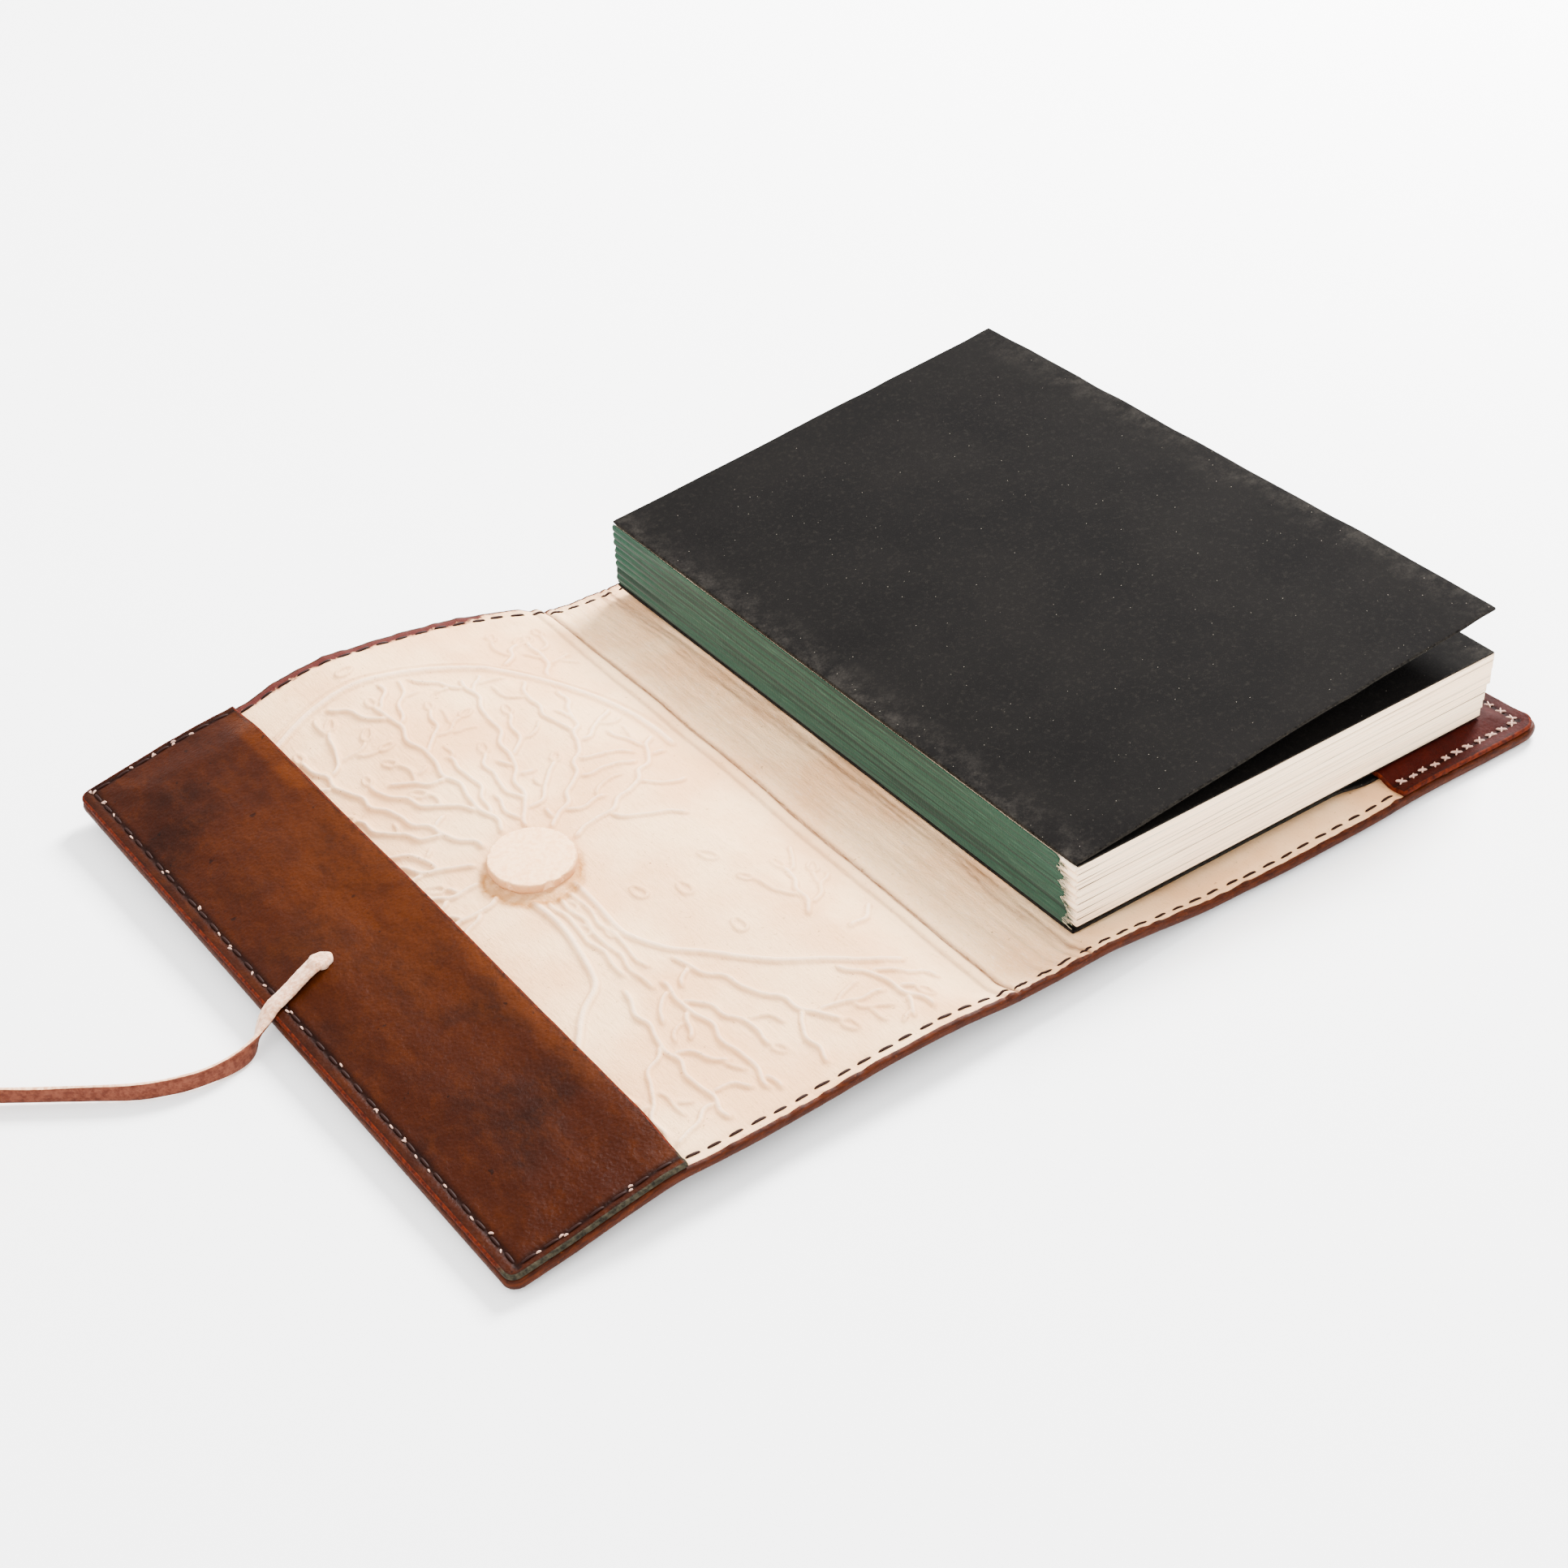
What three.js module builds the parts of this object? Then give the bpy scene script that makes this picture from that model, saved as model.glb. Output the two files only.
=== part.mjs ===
// A refillable leather notebook cover lying open, inside face up, with a sewn notebook whose
// back cover is slipped into the right-hand pocket.
// Millimetres. X runs across the open cover, Y along its spine, +Z up from the table.
// The leather is one hide in the real object. It is split here at its two creases and at the
// crown of its front panel, because those are the lines along which it bends.
import * as THREE from 'three';

const DEG = Math.PI / 180;
const GAP = 0.3; // clearance left between pieces that touch in the real object

// Leather cover
const LEATHER = 2.4;
const COVER_HEIGHT = 191;
const BACK_EDGE_X = 139.5;
const BACK_CREASE_X = 6.4;
const SPINE_WIDTH = 19.8;
const FRONT_CREASE_X = BACK_CREASE_X - SPINE_WIDTH;
const CREASE_GAP = 0.15; // half of the gap in each crease
const CREASE_LIFT = 2.6; // the spine panel stands this far off the table
const BACK_LANDING_X = 45; // the back panel comes down to the table here
const CORNER_RADIUS = 4;
const CORNER_CUT = 1.17; // how far a two-step corner stands in from the square one
const CORNER_SEGMENTS = 4;
const HOLE_SEGMENTS = 12;

// The front panel rises from its crease to a crown and falls from there to its fore edge.
const INNER_LENGTH = 72;
const OUTER_LENGTH = 55.5;
const INNER_RISE = 5.9 * DEG;
const CROWN_RISE = CREASE_LIFT + INNER_LENGTH * Math.sin(INNER_RISE);
const OUTER_FALL = Math.asin(CROWN_RISE / OUTER_LENGTH);
const CROWN_GAP = 0.5;

// Pockets
const POCKET_LEATHER = 1.2;
const LEFT_POCKET_DEPTH = 41.3;
const RIGHT_POCKET_DEPTH = 43;
const POCKET_EDGE_INSET = 0.6;
const POCKET_RAISE = 1.2; // room under the right pocket for the notebook's back cover
const POCKET_RIM_NEAR = 4.6;
const POCKET_RIM_FAR = 2.5;
const POCKET_RIM_FORE = 5.2;
const POCKET_RIM_RAMP = 1.7;

// Stitching
const SEAM_INSET = 4.4;
const SEAM_INSET_FAR_POCKET = 1.7;
const THREAD = 0.8;
const STITCH_PITCH = 5.7;
const STITCH_DASH = 3.8;
const STITCH_HEIGHT = 0.55;
const STITCH_LINK = 0.2;
const SEAM_LIFT = 0.1;
const CROSS_PITCH = 4;
const CROSS_SWING = 0.9;

// Stone set in the front panel
const STONE_X = 60.5; // from the front crease, along the panel
const STONE_RADIUS = 7.6;
const STONE_DROP = 5.2; // how far its dome stands out of the outside face
const STONE_HOLE_RADIUS = 8;
const BEZEL_RADIUS = 11;
const BEZEL_HEIGHT = 1.8;
const DISC_RADIUS = 10.2;
const DISC_THICKNESS = 1.5;

// Notebook. Its own X runs from the outside of its spine and its own Z from its underside.
const BOOK_HEIGHT = 176;
const BOOK_X = 6.8;
const BOOK_Y = 1.9;
const BOOK_TILT = 0.45 * DEG; // its spine stands higher than its fore edge
const BOOK_FORE = 123.6;
const TAPE_THICKNESS = 0.35;
const SEWING_X = 0.7;
const SEWING_RADIUS = 0.22;
const FOLD_X = 1.2;
const FORE_STEP = 0.2; // each signature reaches this much further than the one below it
const CARD = 0.9;
const CARD_BEND_START = 84;
const CARD_BEND_END = 94;
const ENDPAPER = 0.25;
const LAYER_GAP = 0.15;
const SIGNATURES = 8;
const LOWER_SIGNATURES = 5;
const SIGNATURE_PITCH = 2.05;
const COVER_LIFT = 5.4 * DEG;
const COVER_WIDTH = 124.4;
const COVER_HINGE_X = 0.2;
const SEWING_STATIONS = [-62, 0, 62];

// Leather thong
const THONG_RADIUS = 1.9;
const THONG_SIDES = 8;
const THONG_HOLE_X = 41; // from the crown, along the panel
const THONG_HOLE_RADIUS = 2.4;
const KNOB_RADIUS = 3;
const KNOB_HEIGHT = 2.6;
const COIL_CENTRE = [-230.2, 12];
const COIL_INNER = 16.6;
const COIL_OUTER = 26.6;
const COIL_BOTTOM = 1.3;
const COIL_TOP = 5.5;
const TIE_CLEARANCE = 0.4;
const TIE_THICKNESS = 0.7;
const TIE_WIDTH = 3;
const TIE_ANGLE = 200 * DEG;

const HALF = COVER_HEIGHT / 2;
const CREASE_TOP = CREASE_LIFT + LEATHER;
const ENDPAPER_BOTTOM = CARD + LAYER_GAP;
const BLOCK_BOTTOM = ENDPAPER_BOTTOM + ENDPAPER + LAYER_GAP;
const LEAVES_BOTTOM = BLOCK_BOTTOM + LOWER_SIGNATURES * SIGNATURE_PITCH;
const FLYLEAF_BOTTOM = BLOCK_BOTTOM + SIGNATURES * SIGNATURE_PITCH;
const COVER_HINGE_Z = FLYLEAF_BOTTOM + ENDPAPER + LAYER_GAP;

const material = (color, roughness) =>
  new THREE.MeshStandardMaterial({ color, roughness, metalness: 0 });
const fleshLeather = material(0xeedfcd, 0.85);
const brownLeather = material(0x7a4423, 0.5);
const redLeather = material(0x6b2c1b, 0.5);
const waxedThread = material(0x4a2a1a, 0.7);
const paleThread = material(0xd9b9ac, 0.7);
const laceLeather = material(0xb5705a, 0.7);
const stone = material(0x2f5d7c, 0.2);
const blackCard = material(0x2e2b29, 0.8);
const paper = material(0xf2ede4, 0.9);
const greenCloth = material(0x3f6b55, 0.9);
const sewingThread = material(0xe8e2d2, 0.8);

const notebookCover = new THREE.Group();

function add(parent, name, geometry, surface, x = 0, y = 0, z = 0) {
  const mesh = new THREE.Mesh(geometry, surface);
  mesh.name = name;
  mesh.position.set(x, y, z);
  parent.add(mesh);
  return mesh;
}

// A rectangle in XY whose corners on one side (its free edge) are rounded.
function panelShape(hingeX, edgeX, low, high, radius) {
  const shape = new THREE.Shape();
  const turn = (cornerY, from, to) => {
    const centreY = cornerY - Math.sign(cornerY) * radius;
    shape.absarc(edgeX + radius, centreY, radius, from, to, false);
  };
  shape.moveTo(hingeX, high);
  shape.lineTo(edgeX + radius, high);
  turn(high, Math.PI / 2, Math.PI);
  turn(low, Math.PI, 1.5 * Math.PI);
  shape.lineTo(hingeX, low);
  shape.closePath();
  return shape;
}

function roundHole(shape, x, y, radius) {
  const hole = new THREE.Path();
  hole.absarc(x, y, radius, 0, 2 * Math.PI, true);
  shape.holes.push(hole);
}

function sheet(shape, thickness, curveSegments = CORNER_SEGMENTS) {
  return new THREE.ExtrudeGeometry(shape, {
    depth: thickness,
    bevelEnabled: false,
    curveSegments,
  });
}

// A closed outline in XZ, carried along Y between two levels.
function alongSpine(points, low, high) {
  const outline = new THREE.Shape(points.map(([x, z]) => new THREE.Vector2(x, z)));
  const geometry = sheet(outline, high - low);
  geometry.rotateX(Math.PI / 2);
  geometry.translate(0, high, 0);
  return geometry;
}

// How far the back panel's underside stands off the table.
function backLift(x) {
  const share = (BACK_LANDING_X - x) / (BACK_LANDING_X - BACK_CREASE_X);
  return CREASE_LIFT * Math.max(0, share);
}

// One running thread: long stitches on the surface, joined by short low links. Where the
// surface under it bends, its own underside gets a point.
function runningThread(length, levelAt = () => 0, bends = []) {
  const count = Math.max(1, Math.round(length / STITCH_PITCH));
  const pitch = length / count;
  const dash = (pitch * STITCH_DASH) / STITCH_PITCH;
  const underside = [0, ...bends, length].map((x) => [x, 0]);
  const points = [...underside, [length, STITCH_LINK]];
  for (let i = count - 1; i >= 0; i -= 1) {
    const start = i * pitch + (pitch - dash) / 2;
    points.push([start + dash, STITCH_LINK], [start + dash, STITCH_HEIGHT]);
    points.push([start, STITCH_HEIGHT], [start, STITCH_LINK]);
  }
  points.push([0, STITCH_LINK]);
  const lifted = points.map(([x, z]) => [x, z + levelAt(x)]);
  return alongSpine(lifted, -THREAD / 2, THREAD / 2);
}

// A thread round the three closed sides of a pocket, from mouth to fore edge and back.
function pocketThread(mouthX, foreX, low, high, pitch, swing) {
  const corners = [[mouthX, low], [foreX, low], [foreX, high], [mouthX, high]];
  const inward = [[0, 1], [-Math.sign(foreX - mouthX), 0], [0, -1]];
  const outer = [];
  const inner = [];
  const place = (x, y, nx, ny, sway) => {
    const half = THREAD / 2;
    outer.push(new THREE.Vector2(x + nx * (sway - half), y + ny * (sway - half)));
    inner.push(new THREE.Vector2(x + nx * (sway + half), y + ny * (sway + half)));
  };
  place(...corners[0], ...inward[0], 0);
  inward.forEach(([nx, ny], leg) => {
    const [x0, y0] = corners[leg];
    const [x1, y1] = corners[leg + 1];
    const count = 2 * Math.round(Math.hypot(x1 - x0, y1 - y0) / pitch / 2);
    for (let i = 1; i < count; i += 1) {
      const sway = i % 2 === 0 ? -swing : swing;
      place(x0 + ((x1 - x0) * i) / count, y0 + ((y1 - y0) * i) / count, nx, ny, sway);
    }
    const [nextX, nextY] = inward[leg + 1] ?? [0, 0];
    place(x1, y1, nx + nextX, ny + nextY, 0);
  });
  return sheet(new THREE.Shape(outer.concat(inner.reverse())), STITCH_HEIGHT);
}

// A tube of round section through points given in order.
function tube(points) {
  const path = new THREE.CatmullRomCurve3(points.map((p) => new THREE.Vector3(...p)));
  const section = new THREE.Shape();
  for (let i = 0; i < THONG_SIDES; i += 1) {
    const angle = (2 * Math.PI * (i + 0.5)) / THONG_SIDES;
    const x = THONG_RADIUS * Math.cos(angle);
    const y = THONG_RADIUS * Math.sin(angle);
    if (i === 0) section.moveTo(x, y);
    else section.lineTo(x, y);
  }
  section.closePath();
  const steps = Math.ceil(path.getLength() / (5 * THONG_RADIUS));
  return new THREE.ExtrudeGeometry(section, { steps, extrudePath: path });
}

// A sheet on a grid of columns and rows, each point of which can be moved.
function griddedSheet(columns, rows, thickness, placeAt) {
  const lastColumn = columns.length - 1;
  const lastRow = rows.length - 1;
  const geometry = new THREE.BoxGeometry(1, 1, thickness, lastColumn, lastRow, 1);
  geometry.translate(0.5, 0.5, thickness / 2);
  const places = geometry.attributes.position;
  for (let i = 0; i < places.count; i += 1) {
    const column = Math.round(places.getX(i) * lastColumn);
    const row = Math.round(places.getY(i) * lastRow);
    const [x, y, lift] = placeAt(column, row);
    places.setXYZ(i, x, y, places.getZ(i) + lift);
  }
  geometry.computeVertexNormals();
  return geometry;
}

function backPanel() {
  const roundX = BACK_EDGE_X - CORNER_RADIUS;
  const roundY = HALF - CORNER_RADIUS;
  const columns = [BACK_CREASE_X + CREASE_GAP, BACK_LANDING_X, roundX, BACK_EDGE_X];
  const rows = [-HALF, -roundY, roundY, HALF];
  const lastColumn = columns.length - 1;
  const lastRow = rows.length - 1;
  const geometry = griddedSheet(columns, rows, LEATHER, (column, row) => {
    const corner = column === lastColumn && (row === 0 || row === lastRow);
    const cut = corner ? CORNER_CUT : 0;
    const y = rows[row] - Math.sign(rows[row]) * cut;
    return [columns[column] - cut, y, backLift(columns[column])];
  });
  add(notebookCover, 'back_panel', geometry, fleshLeather);
}

function spinePanelAndSeams() {
  const spine = new THREE.BoxGeometry(SPINE_WIDTH - 2 * CREASE_GAP, COVER_HEIGHT, LEATHER);
  const spineX = BACK_CREASE_X - SPINE_WIDTH / 2;
  add(notebookCover, 'spine_panel', spine, fleshLeather, spineX, 0, CREASE_LIFT + LEATHER / 2);

  const backLength = BACK_EDGE_X - RIGHT_POCKET_DEPTH - BACK_CREASE_X - 2 * GAP;
  const backX = BACK_CREASE_X + GAP;
  const backZ = LEATHER + SEAM_LIFT;
  const rows = { near: -HALF + SEAM_INSET, far: HALF - SEAM_INSET };
  for (const [side, y] of Object.entries(rows)) {
    const levelAt = (x) => backLift(backX + x);
    const backRun = runningThread(backLength, levelAt, [BACK_LANDING_X - backX]);
    add(notebookCover, `back_seam_${side}`, backRun, waxedThread, backX, y, backZ);
    const spineStart = FRONT_CREASE_X + GAP;
    const spineRun = runningThread(SPINE_WIDTH - 2 * GAP);
    const spineZ = CREASE_TOP + SEAM_LIFT;
    add(notebookCover, `spine_seam_${side}`, spineRun, waxedThread, spineStart, y, spineZ);
  }
}

// Leather that lies flat along its three stitched edges and stands up over the card inside.
function rightPocket() {
  const width = RIGHT_POCKET_DEPTH - POCKET_EDGE_INSET;
  const height = COVER_HEIGHT - 2 * POCKET_EDGE_INSET;
  const mouthX = BACK_EDGE_X - RIGHT_POCKET_DEPTH;
  const foreEdge = mouthX + width;
  const columns = [
    mouthX,
    foreEdge - POCKET_RIM_FORE - POCKET_RIM_RAMP,
    foreEdge - POCKET_RIM_FORE,
    foreEdge,
  ];
  const rows = [
    -height / 2,
    -height / 2 + POCKET_RIM_NEAR,
    -height / 2 + POCKET_RIM_NEAR + POCKET_RIM_RAMP,
    height / 2 - POCKET_RIM_FAR - POCKET_RIM_RAMP,
    height / 2 - POCKET_RIM_FAR,
    height / 2,
  ];
  const lastRow = rows.length - 1;
  const geometry = griddedSheet(columns, rows, POCKET_LEATHER, (column, row) => {
    const raised = column < 2 && row > 1 && row < lastRow - 1;
    return [columns[column], rows[row], raised ? POCKET_RAISE : 0];
  });
  add(notebookCover, 'right_pocket', geometry, redLeather, 0, 0, LEATHER + GAP);

  const foreX = BACK_EDGE_X - SEAM_INSET + 0.5;
  const low = -HALF + SEAM_INSET - 1;
  const high = HALF - SEAM_INSET_FAR_POCKET;
  const thread = pocketThread(mouthX + 2, foreX, low, high, CROSS_PITCH, CROSS_SWING);
  const seamZ = LEATHER + GAP + POCKET_LEATHER + SEAM_LIFT;
  add(notebookCover, 'right_pocket_seam', thread, paleThread, 0, 0, seamZ);
}

// The dome's outline from its tip up to its girdle, then the cylinder that fills the hole.
function stoneGeometry() {
  const profile = [new THREE.Vector2(0, -STONE_DROP)];
  const arcSteps = 6;
  for (let i = 1; i <= arcSteps; i += 1) {
    const angle = (Math.PI / 2) * (i / arcSteps);
    profile.push(new THREE.Vector2(STONE_RADIUS * Math.sin(angle), -STONE_DROP * Math.cos(angle)));
  }
  profile.push(new THREE.Vector2(STONE_RADIUS, LEATHER - GAP), new THREE.Vector2(0, LEATHER - GAP));
  const geometry = new THREE.LatheGeometry(profile, 24);
  geometry.rotateX(Math.PI / 2);
  return geometry;
}

function frontPanel() {
  const inner = new THREE.Group();
  inner.position.set(FRONT_CREASE_X, 0, CREASE_TOP);
  inner.rotation.y = INNER_RISE;
  notebookCover.add(inner);

  const innerShape = new THREE.Shape();
  innerShape.moveTo(-CREASE_GAP, -HALF);
  innerShape.lineTo(-CREASE_GAP, HALF);
  innerShape.lineTo(-INNER_LENGTH + CROWN_GAP, HALF);
  innerShape.lineTo(-INNER_LENGTH + CROWN_GAP, -HALF);
  innerShape.closePath();
  roundHole(innerShape, -STONE_X, 0, STONE_HOLE_RADIUS);
  add(inner, 'front_panel_inner', sheet(innerShape, LEATHER, HOLE_SEGMENTS), fleshLeather, 0, 0, -LEATHER);
  add(inner, 'stone', stoneGeometry(), stone, -STONE_X, 0, -LEATHER);

  const ring = new THREE.Shape();
  ring.absarc(0, 0, BEZEL_RADIUS, 0, 2 * Math.PI, false);
  roundHole(ring, 0, 0, STONE_HOLE_RADIUS);
  const bezelZ = -LEATHER - GAP - BEZEL_HEIGHT;
  add(inner, 'stone_bezel', sheet(ring, BEZEL_HEIGHT, HOLE_SEGMENTS), brownLeather, -STONE_X, 0, bezelZ);

  const disc = new THREE.CylinderGeometry(DISC_RADIUS, DISC_RADIUS, DISC_THICKNESS, 32);
  disc.rotateX(Math.PI / 2);
  add(inner, 'backing_disc', disc, fleshLeather, -STONE_X, 0, GAP + DISC_THICKNESS / 2);

  const outer = new THREE.Group();
  outer.position.set(-INNER_LENGTH, 0, 0);
  outer.rotation.y = -INNER_RISE - OUTER_FALL;
  inner.add(outer);

  const outerShape = panelShape(-CROWN_GAP, -OUTER_LENGTH, -HALF, HALF, CORNER_RADIUS / 2);
  add(outer, 'front_panel_outer', sheet(outerShape, LEATHER), fleshLeather, 0, 0, -LEATHER);

  const mouth = -OUTER_LENGTH + LEFT_POCKET_DEPTH;
  const edge = -OUTER_LENGTH + POCKET_EDGE_INSET;
  const reach = HALF - POCKET_EDGE_INSET;
  const pocket = panelShape(mouth, edge, -reach, reach, CORNER_RADIUS / 2);
  roundHole(pocket, -THONG_HOLE_X, 0, THONG_HOLE_RADIUS);
  add(outer, 'left_pocket', sheet(pocket, POCKET_LEATHER, HOLE_SEGMENTS), brownLeather, 0, 0, GAP);

  const seamFore = -OUTER_LENGTH + SEAM_INSET;
  const seamReach = HALF - SEAM_INSET;
  const run = pocketThread(mouth - 1, seamFore, -seamReach, seamReach, STITCH_PITCH, 0);
  add(outer, 'left_pocket_seam', run, paleThread, 0, 0, GAP + POCKET_LEATHER + SEAM_LIFT);

  const innerLength = INNER_LENGTH - CROWN_GAP - 2 * GAP;
  const outerLength = OUTER_LENGTH - LEFT_POCKET_DEPTH - CROWN_GAP - 2 * GAP;
  const rows = { near: -seamReach, far: seamReach };
  for (const [side, y] of Object.entries(rows)) {
    const innerRun = runningThread(innerLength);
    add(inner, `inner_seam_${side}`, innerRun, waxedThread, -GAP - innerLength, y, SEAM_LIFT);
    const outerRun = runningThread(outerLength);
    const outerX = -CROWN_GAP - GAP - outerLength;
    add(outer, `outer_seam_${side}`, outerRun, waxedThread, outerX, y, SEAM_LIFT);
  }

  const pocketTop = GAP + POCKET_LEATHER + GAP;
  const knob = new THREE.CylinderGeometry(KNOB_RADIUS * 0.7, KNOB_RADIUS, KNOB_HEIGHT, 16);
  knob.rotateX(Math.PI / 2);
  add(outer, 'thong_knob', knob, laceLeather, -THONG_HOLE_X, 0, pocketTop + KNOB_HEIGHT / 2);
}

function thong() {
  const onPanel = [
    [-129.1, 0, 8.8],
    [-132.2, 0, 8.2],
    [-135.8, 0.2, 7.4],
    [-138.8, 0.4, 6.85],
  ];
  const onTable = [
    [-140.5, 0.3, 6.5],
    [-142.7, -0.6, 5.4],
    [-145.2, -2.6, 3.6],
    [-148.5, -4.4, 2.3],
    [-153, -5.3, 2.0],
    [-158, -4.8, 2.0],
    [-164, -3.2, 2.0],
    [-170, -0.2, 2.0],
    [-178, 5.4, 2.0],
    [-186, 11.4, 2.0],
    [-194, 17.4, 2.1],
    [-200, 21.9, 2.5],
    [-204, 25.2, 2.7],
  ];
  add(notebookCover, 'thong_anchor', tube(onPanel), laceLeather);
  add(notebookCover, 'thong_tail', tube(onTable), laceLeather);

  const [centreX, centreY] = COIL_CENTRE;
  const ring = new THREE.LatheGeometry([
    new THREE.Vector2(COIL_INNER, COIL_BOTTOM),
    new THREE.Vector2(COIL_OUTER, COIL_BOTTOM),
    new THREE.Vector2(COIL_OUTER, COIL_TOP),
    new THREE.Vector2(COIL_INNER, COIL_TOP),
    new THREE.Vector2(COIL_INNER, COIL_BOTTOM),
  ], 32);
  ring.rotateX(Math.PI / 2);
  add(notebookCover, 'thong_coil', ring, laceLeather, centreX, centreY, 0);

  const low = [COIL_INNER - TIE_CLEARANCE, COIL_BOTTOM - TIE_CLEARANCE];
  const high = [COIL_OUTER + TIE_CLEARANCE, COIL_TOP + TIE_CLEARANCE];
  const band = rectangle(low, high, TIE_THICKNESS);
  band.holes.push(rectangle(low, high, 0));
  const tie = sheet(band, TIE_WIDTH);
  tie.rotateX(Math.PI / 2);
  tie.translate(0, TIE_WIDTH / 2, 0);
  const mesh = add(notebookCover, 'thong_tie', tie, laceLeather, centreX, centreY, 0);
  mesh.rotation.z = TIE_ANGLE;
}

function rectangle([x0, y0], [x1, y1], margin) {
  return new THREE.Shape([
    new THREE.Vector2(x0 - margin, y0 - margin),
    new THREE.Vector2(x1 + margin, y0 - margin),
    new THREE.Vector2(x1 + margin, y1 + margin),
    new THREE.Vector2(x0 - margin, y1 + margin),
  ]);
}

// One layer of the notebook; a folded one is round at its fold.
function layer(low, high, foldX, foreX, folded) {
  const round = folded ? (high - low) * 0.35 : 0;
  return alongSpine([
    [foldX + round, low],
    [foreX, low],
    [foreX, high],
    [foldX + round, high],
    ...(folded ? [[foldX, (low + high) / 2]] : []),
  ], -BOOK_HEIGHT / 2, BOOK_HEIGHT / 2);
}

// The back cover follows the leaves above it, then steps down into the pocket.
function backCoverProfile() {
  const bendDrop = (CARD_BEND_START - BOOK_X) * Math.tan(BOOK_TILT);
  const foreX = BOOK_X + BOOK_FORE;
  const bottom = [
    [BOOK_X, CREASE_TOP + GAP],
    [CARD_BEND_START, CREASE_TOP + GAP - bendDrop],
    [CARD_BEND_END, LEATHER + GAP],
    [foreX, LEATHER + GAP],
  ];
  const top = bottom.map(([x, z]) => [x, z + CARD]).reverse();
  return bottom.concat(top);
}

function notebook() {
  const low = BOOK_Y - BOOK_HEIGHT / 2;
  const high = BOOK_Y + BOOK_HEIGHT / 2;
  add(notebookCover, 'back_cover', alongSpine(backCoverProfile(), low, high), blackCard);

  const book = new THREE.Group();
  book.position.set(BOOK_X, BOOK_Y, CREASE_TOP + GAP);
  book.rotation.y = BOOK_TILT;
  notebookCover.add(book);

  const endpaperTop = ENDPAPER_BOTTOM + ENDPAPER;
  const endpaper = layer(ENDPAPER_BOTTOM, endpaperTop, FOLD_X, BOOK_FORE, false);
  add(book, 'back_endpaper', endpaper, blackCard);

  for (let i = 0; i < SIGNATURES; i += 1) {
    const bottom = BLOCK_BOTTOM + i * SIGNATURE_PITCH;
    const top = bottom + SIGNATURE_PITCH - LAYER_GAP;
    const leaves = layer(bottom, top, FOLD_X, BOOK_FORE + i * FORE_STEP, true);
    add(book, `signature_${i + 1}`, leaves, paper);
  }
  const foreX = BOOK_FORE + SIGNATURES * FORE_STEP;
  const flyleaf = layer(FLYLEAF_BOTTOM, FLYLEAF_BOTTOM + ENDPAPER, FOLD_X, foreX, false);
  add(book, 'front_flyleaf', flyleaf, blackCard);

  const parts = {
    lower: [ENDPAPER_BOTTOM, LEAVES_BOTTOM - LAYER_GAP],
    upper: [LEAVES_BOTTOM, COVER_HINGE_Z - LAYER_GAP],
  };
  for (const [part, [bottom, top]] of Object.entries(parts)) {
    const middle = (bottom + top) / 2;
    const tape = new THREE.BoxGeometry(TAPE_THICKNESS, BOOK_HEIGHT, top - bottom);
    add(book, `spine_tape_${part}`, tape, greenCloth, TAPE_THICKNESS / 2, 0, middle);
    SEWING_STATIONS.forEach((station, i) => {
      const thread = new THREE.CylinderGeometry(SEWING_RADIUS, SEWING_RADIUS, top - bottom, 8);
      thread.rotateX(Math.PI / 2);
      const threadName = `sewing_thread_${part}_${i + 1}`;
      add(book, threadName, thread, sewingThread, SEWING_X, station, middle);
    });
  }

  const lifted = new THREE.Group();
  lifted.position.set(COVER_HINGE_X, 0, COVER_HINGE_Z);
  lifted.rotation.y = -COVER_LIFT;
  book.add(lifted);
  const card = new THREE.BoxGeometry(COVER_WIDTH, BOOK_HEIGHT, CARD);
  add(lifted, 'front_cover', card, blackCard, COVER_WIDTH / 2 + LAYER_GAP, 0, CARD / 2);
}

backPanel();
spinePanelAndSeams();
rightPocket();
frontPanel();
thong();
notebook();

export default notebookCover;
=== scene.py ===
import math

import bpy
import numpy as np
from mathutils import Matrix, Vector


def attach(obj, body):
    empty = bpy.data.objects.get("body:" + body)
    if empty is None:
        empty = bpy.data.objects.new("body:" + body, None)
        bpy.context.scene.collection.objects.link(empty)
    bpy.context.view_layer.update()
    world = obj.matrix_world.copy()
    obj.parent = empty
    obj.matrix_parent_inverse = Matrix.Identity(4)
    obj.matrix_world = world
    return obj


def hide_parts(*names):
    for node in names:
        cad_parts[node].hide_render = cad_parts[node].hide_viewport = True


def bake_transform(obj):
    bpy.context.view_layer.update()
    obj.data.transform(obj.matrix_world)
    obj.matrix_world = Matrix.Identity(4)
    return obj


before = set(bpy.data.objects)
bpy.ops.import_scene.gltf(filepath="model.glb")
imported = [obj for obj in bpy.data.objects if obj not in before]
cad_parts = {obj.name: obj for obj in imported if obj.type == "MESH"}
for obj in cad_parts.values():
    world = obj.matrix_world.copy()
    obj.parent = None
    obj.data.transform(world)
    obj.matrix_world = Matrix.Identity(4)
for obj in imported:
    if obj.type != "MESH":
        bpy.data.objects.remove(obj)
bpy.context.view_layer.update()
MM = 0.001

# ---------------------------------------------------------------- camera
CAMERA_AZIMUTH, CAMERA_ELEVATION, CAMERA_ROLL = -33.795, 37.135, -3.545
CAMERA_AT = (-0.30082, -0.43949, 0.4021)
FOCAL_IN_WIDTHS = 1.8366
SENSOR = 36


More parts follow.
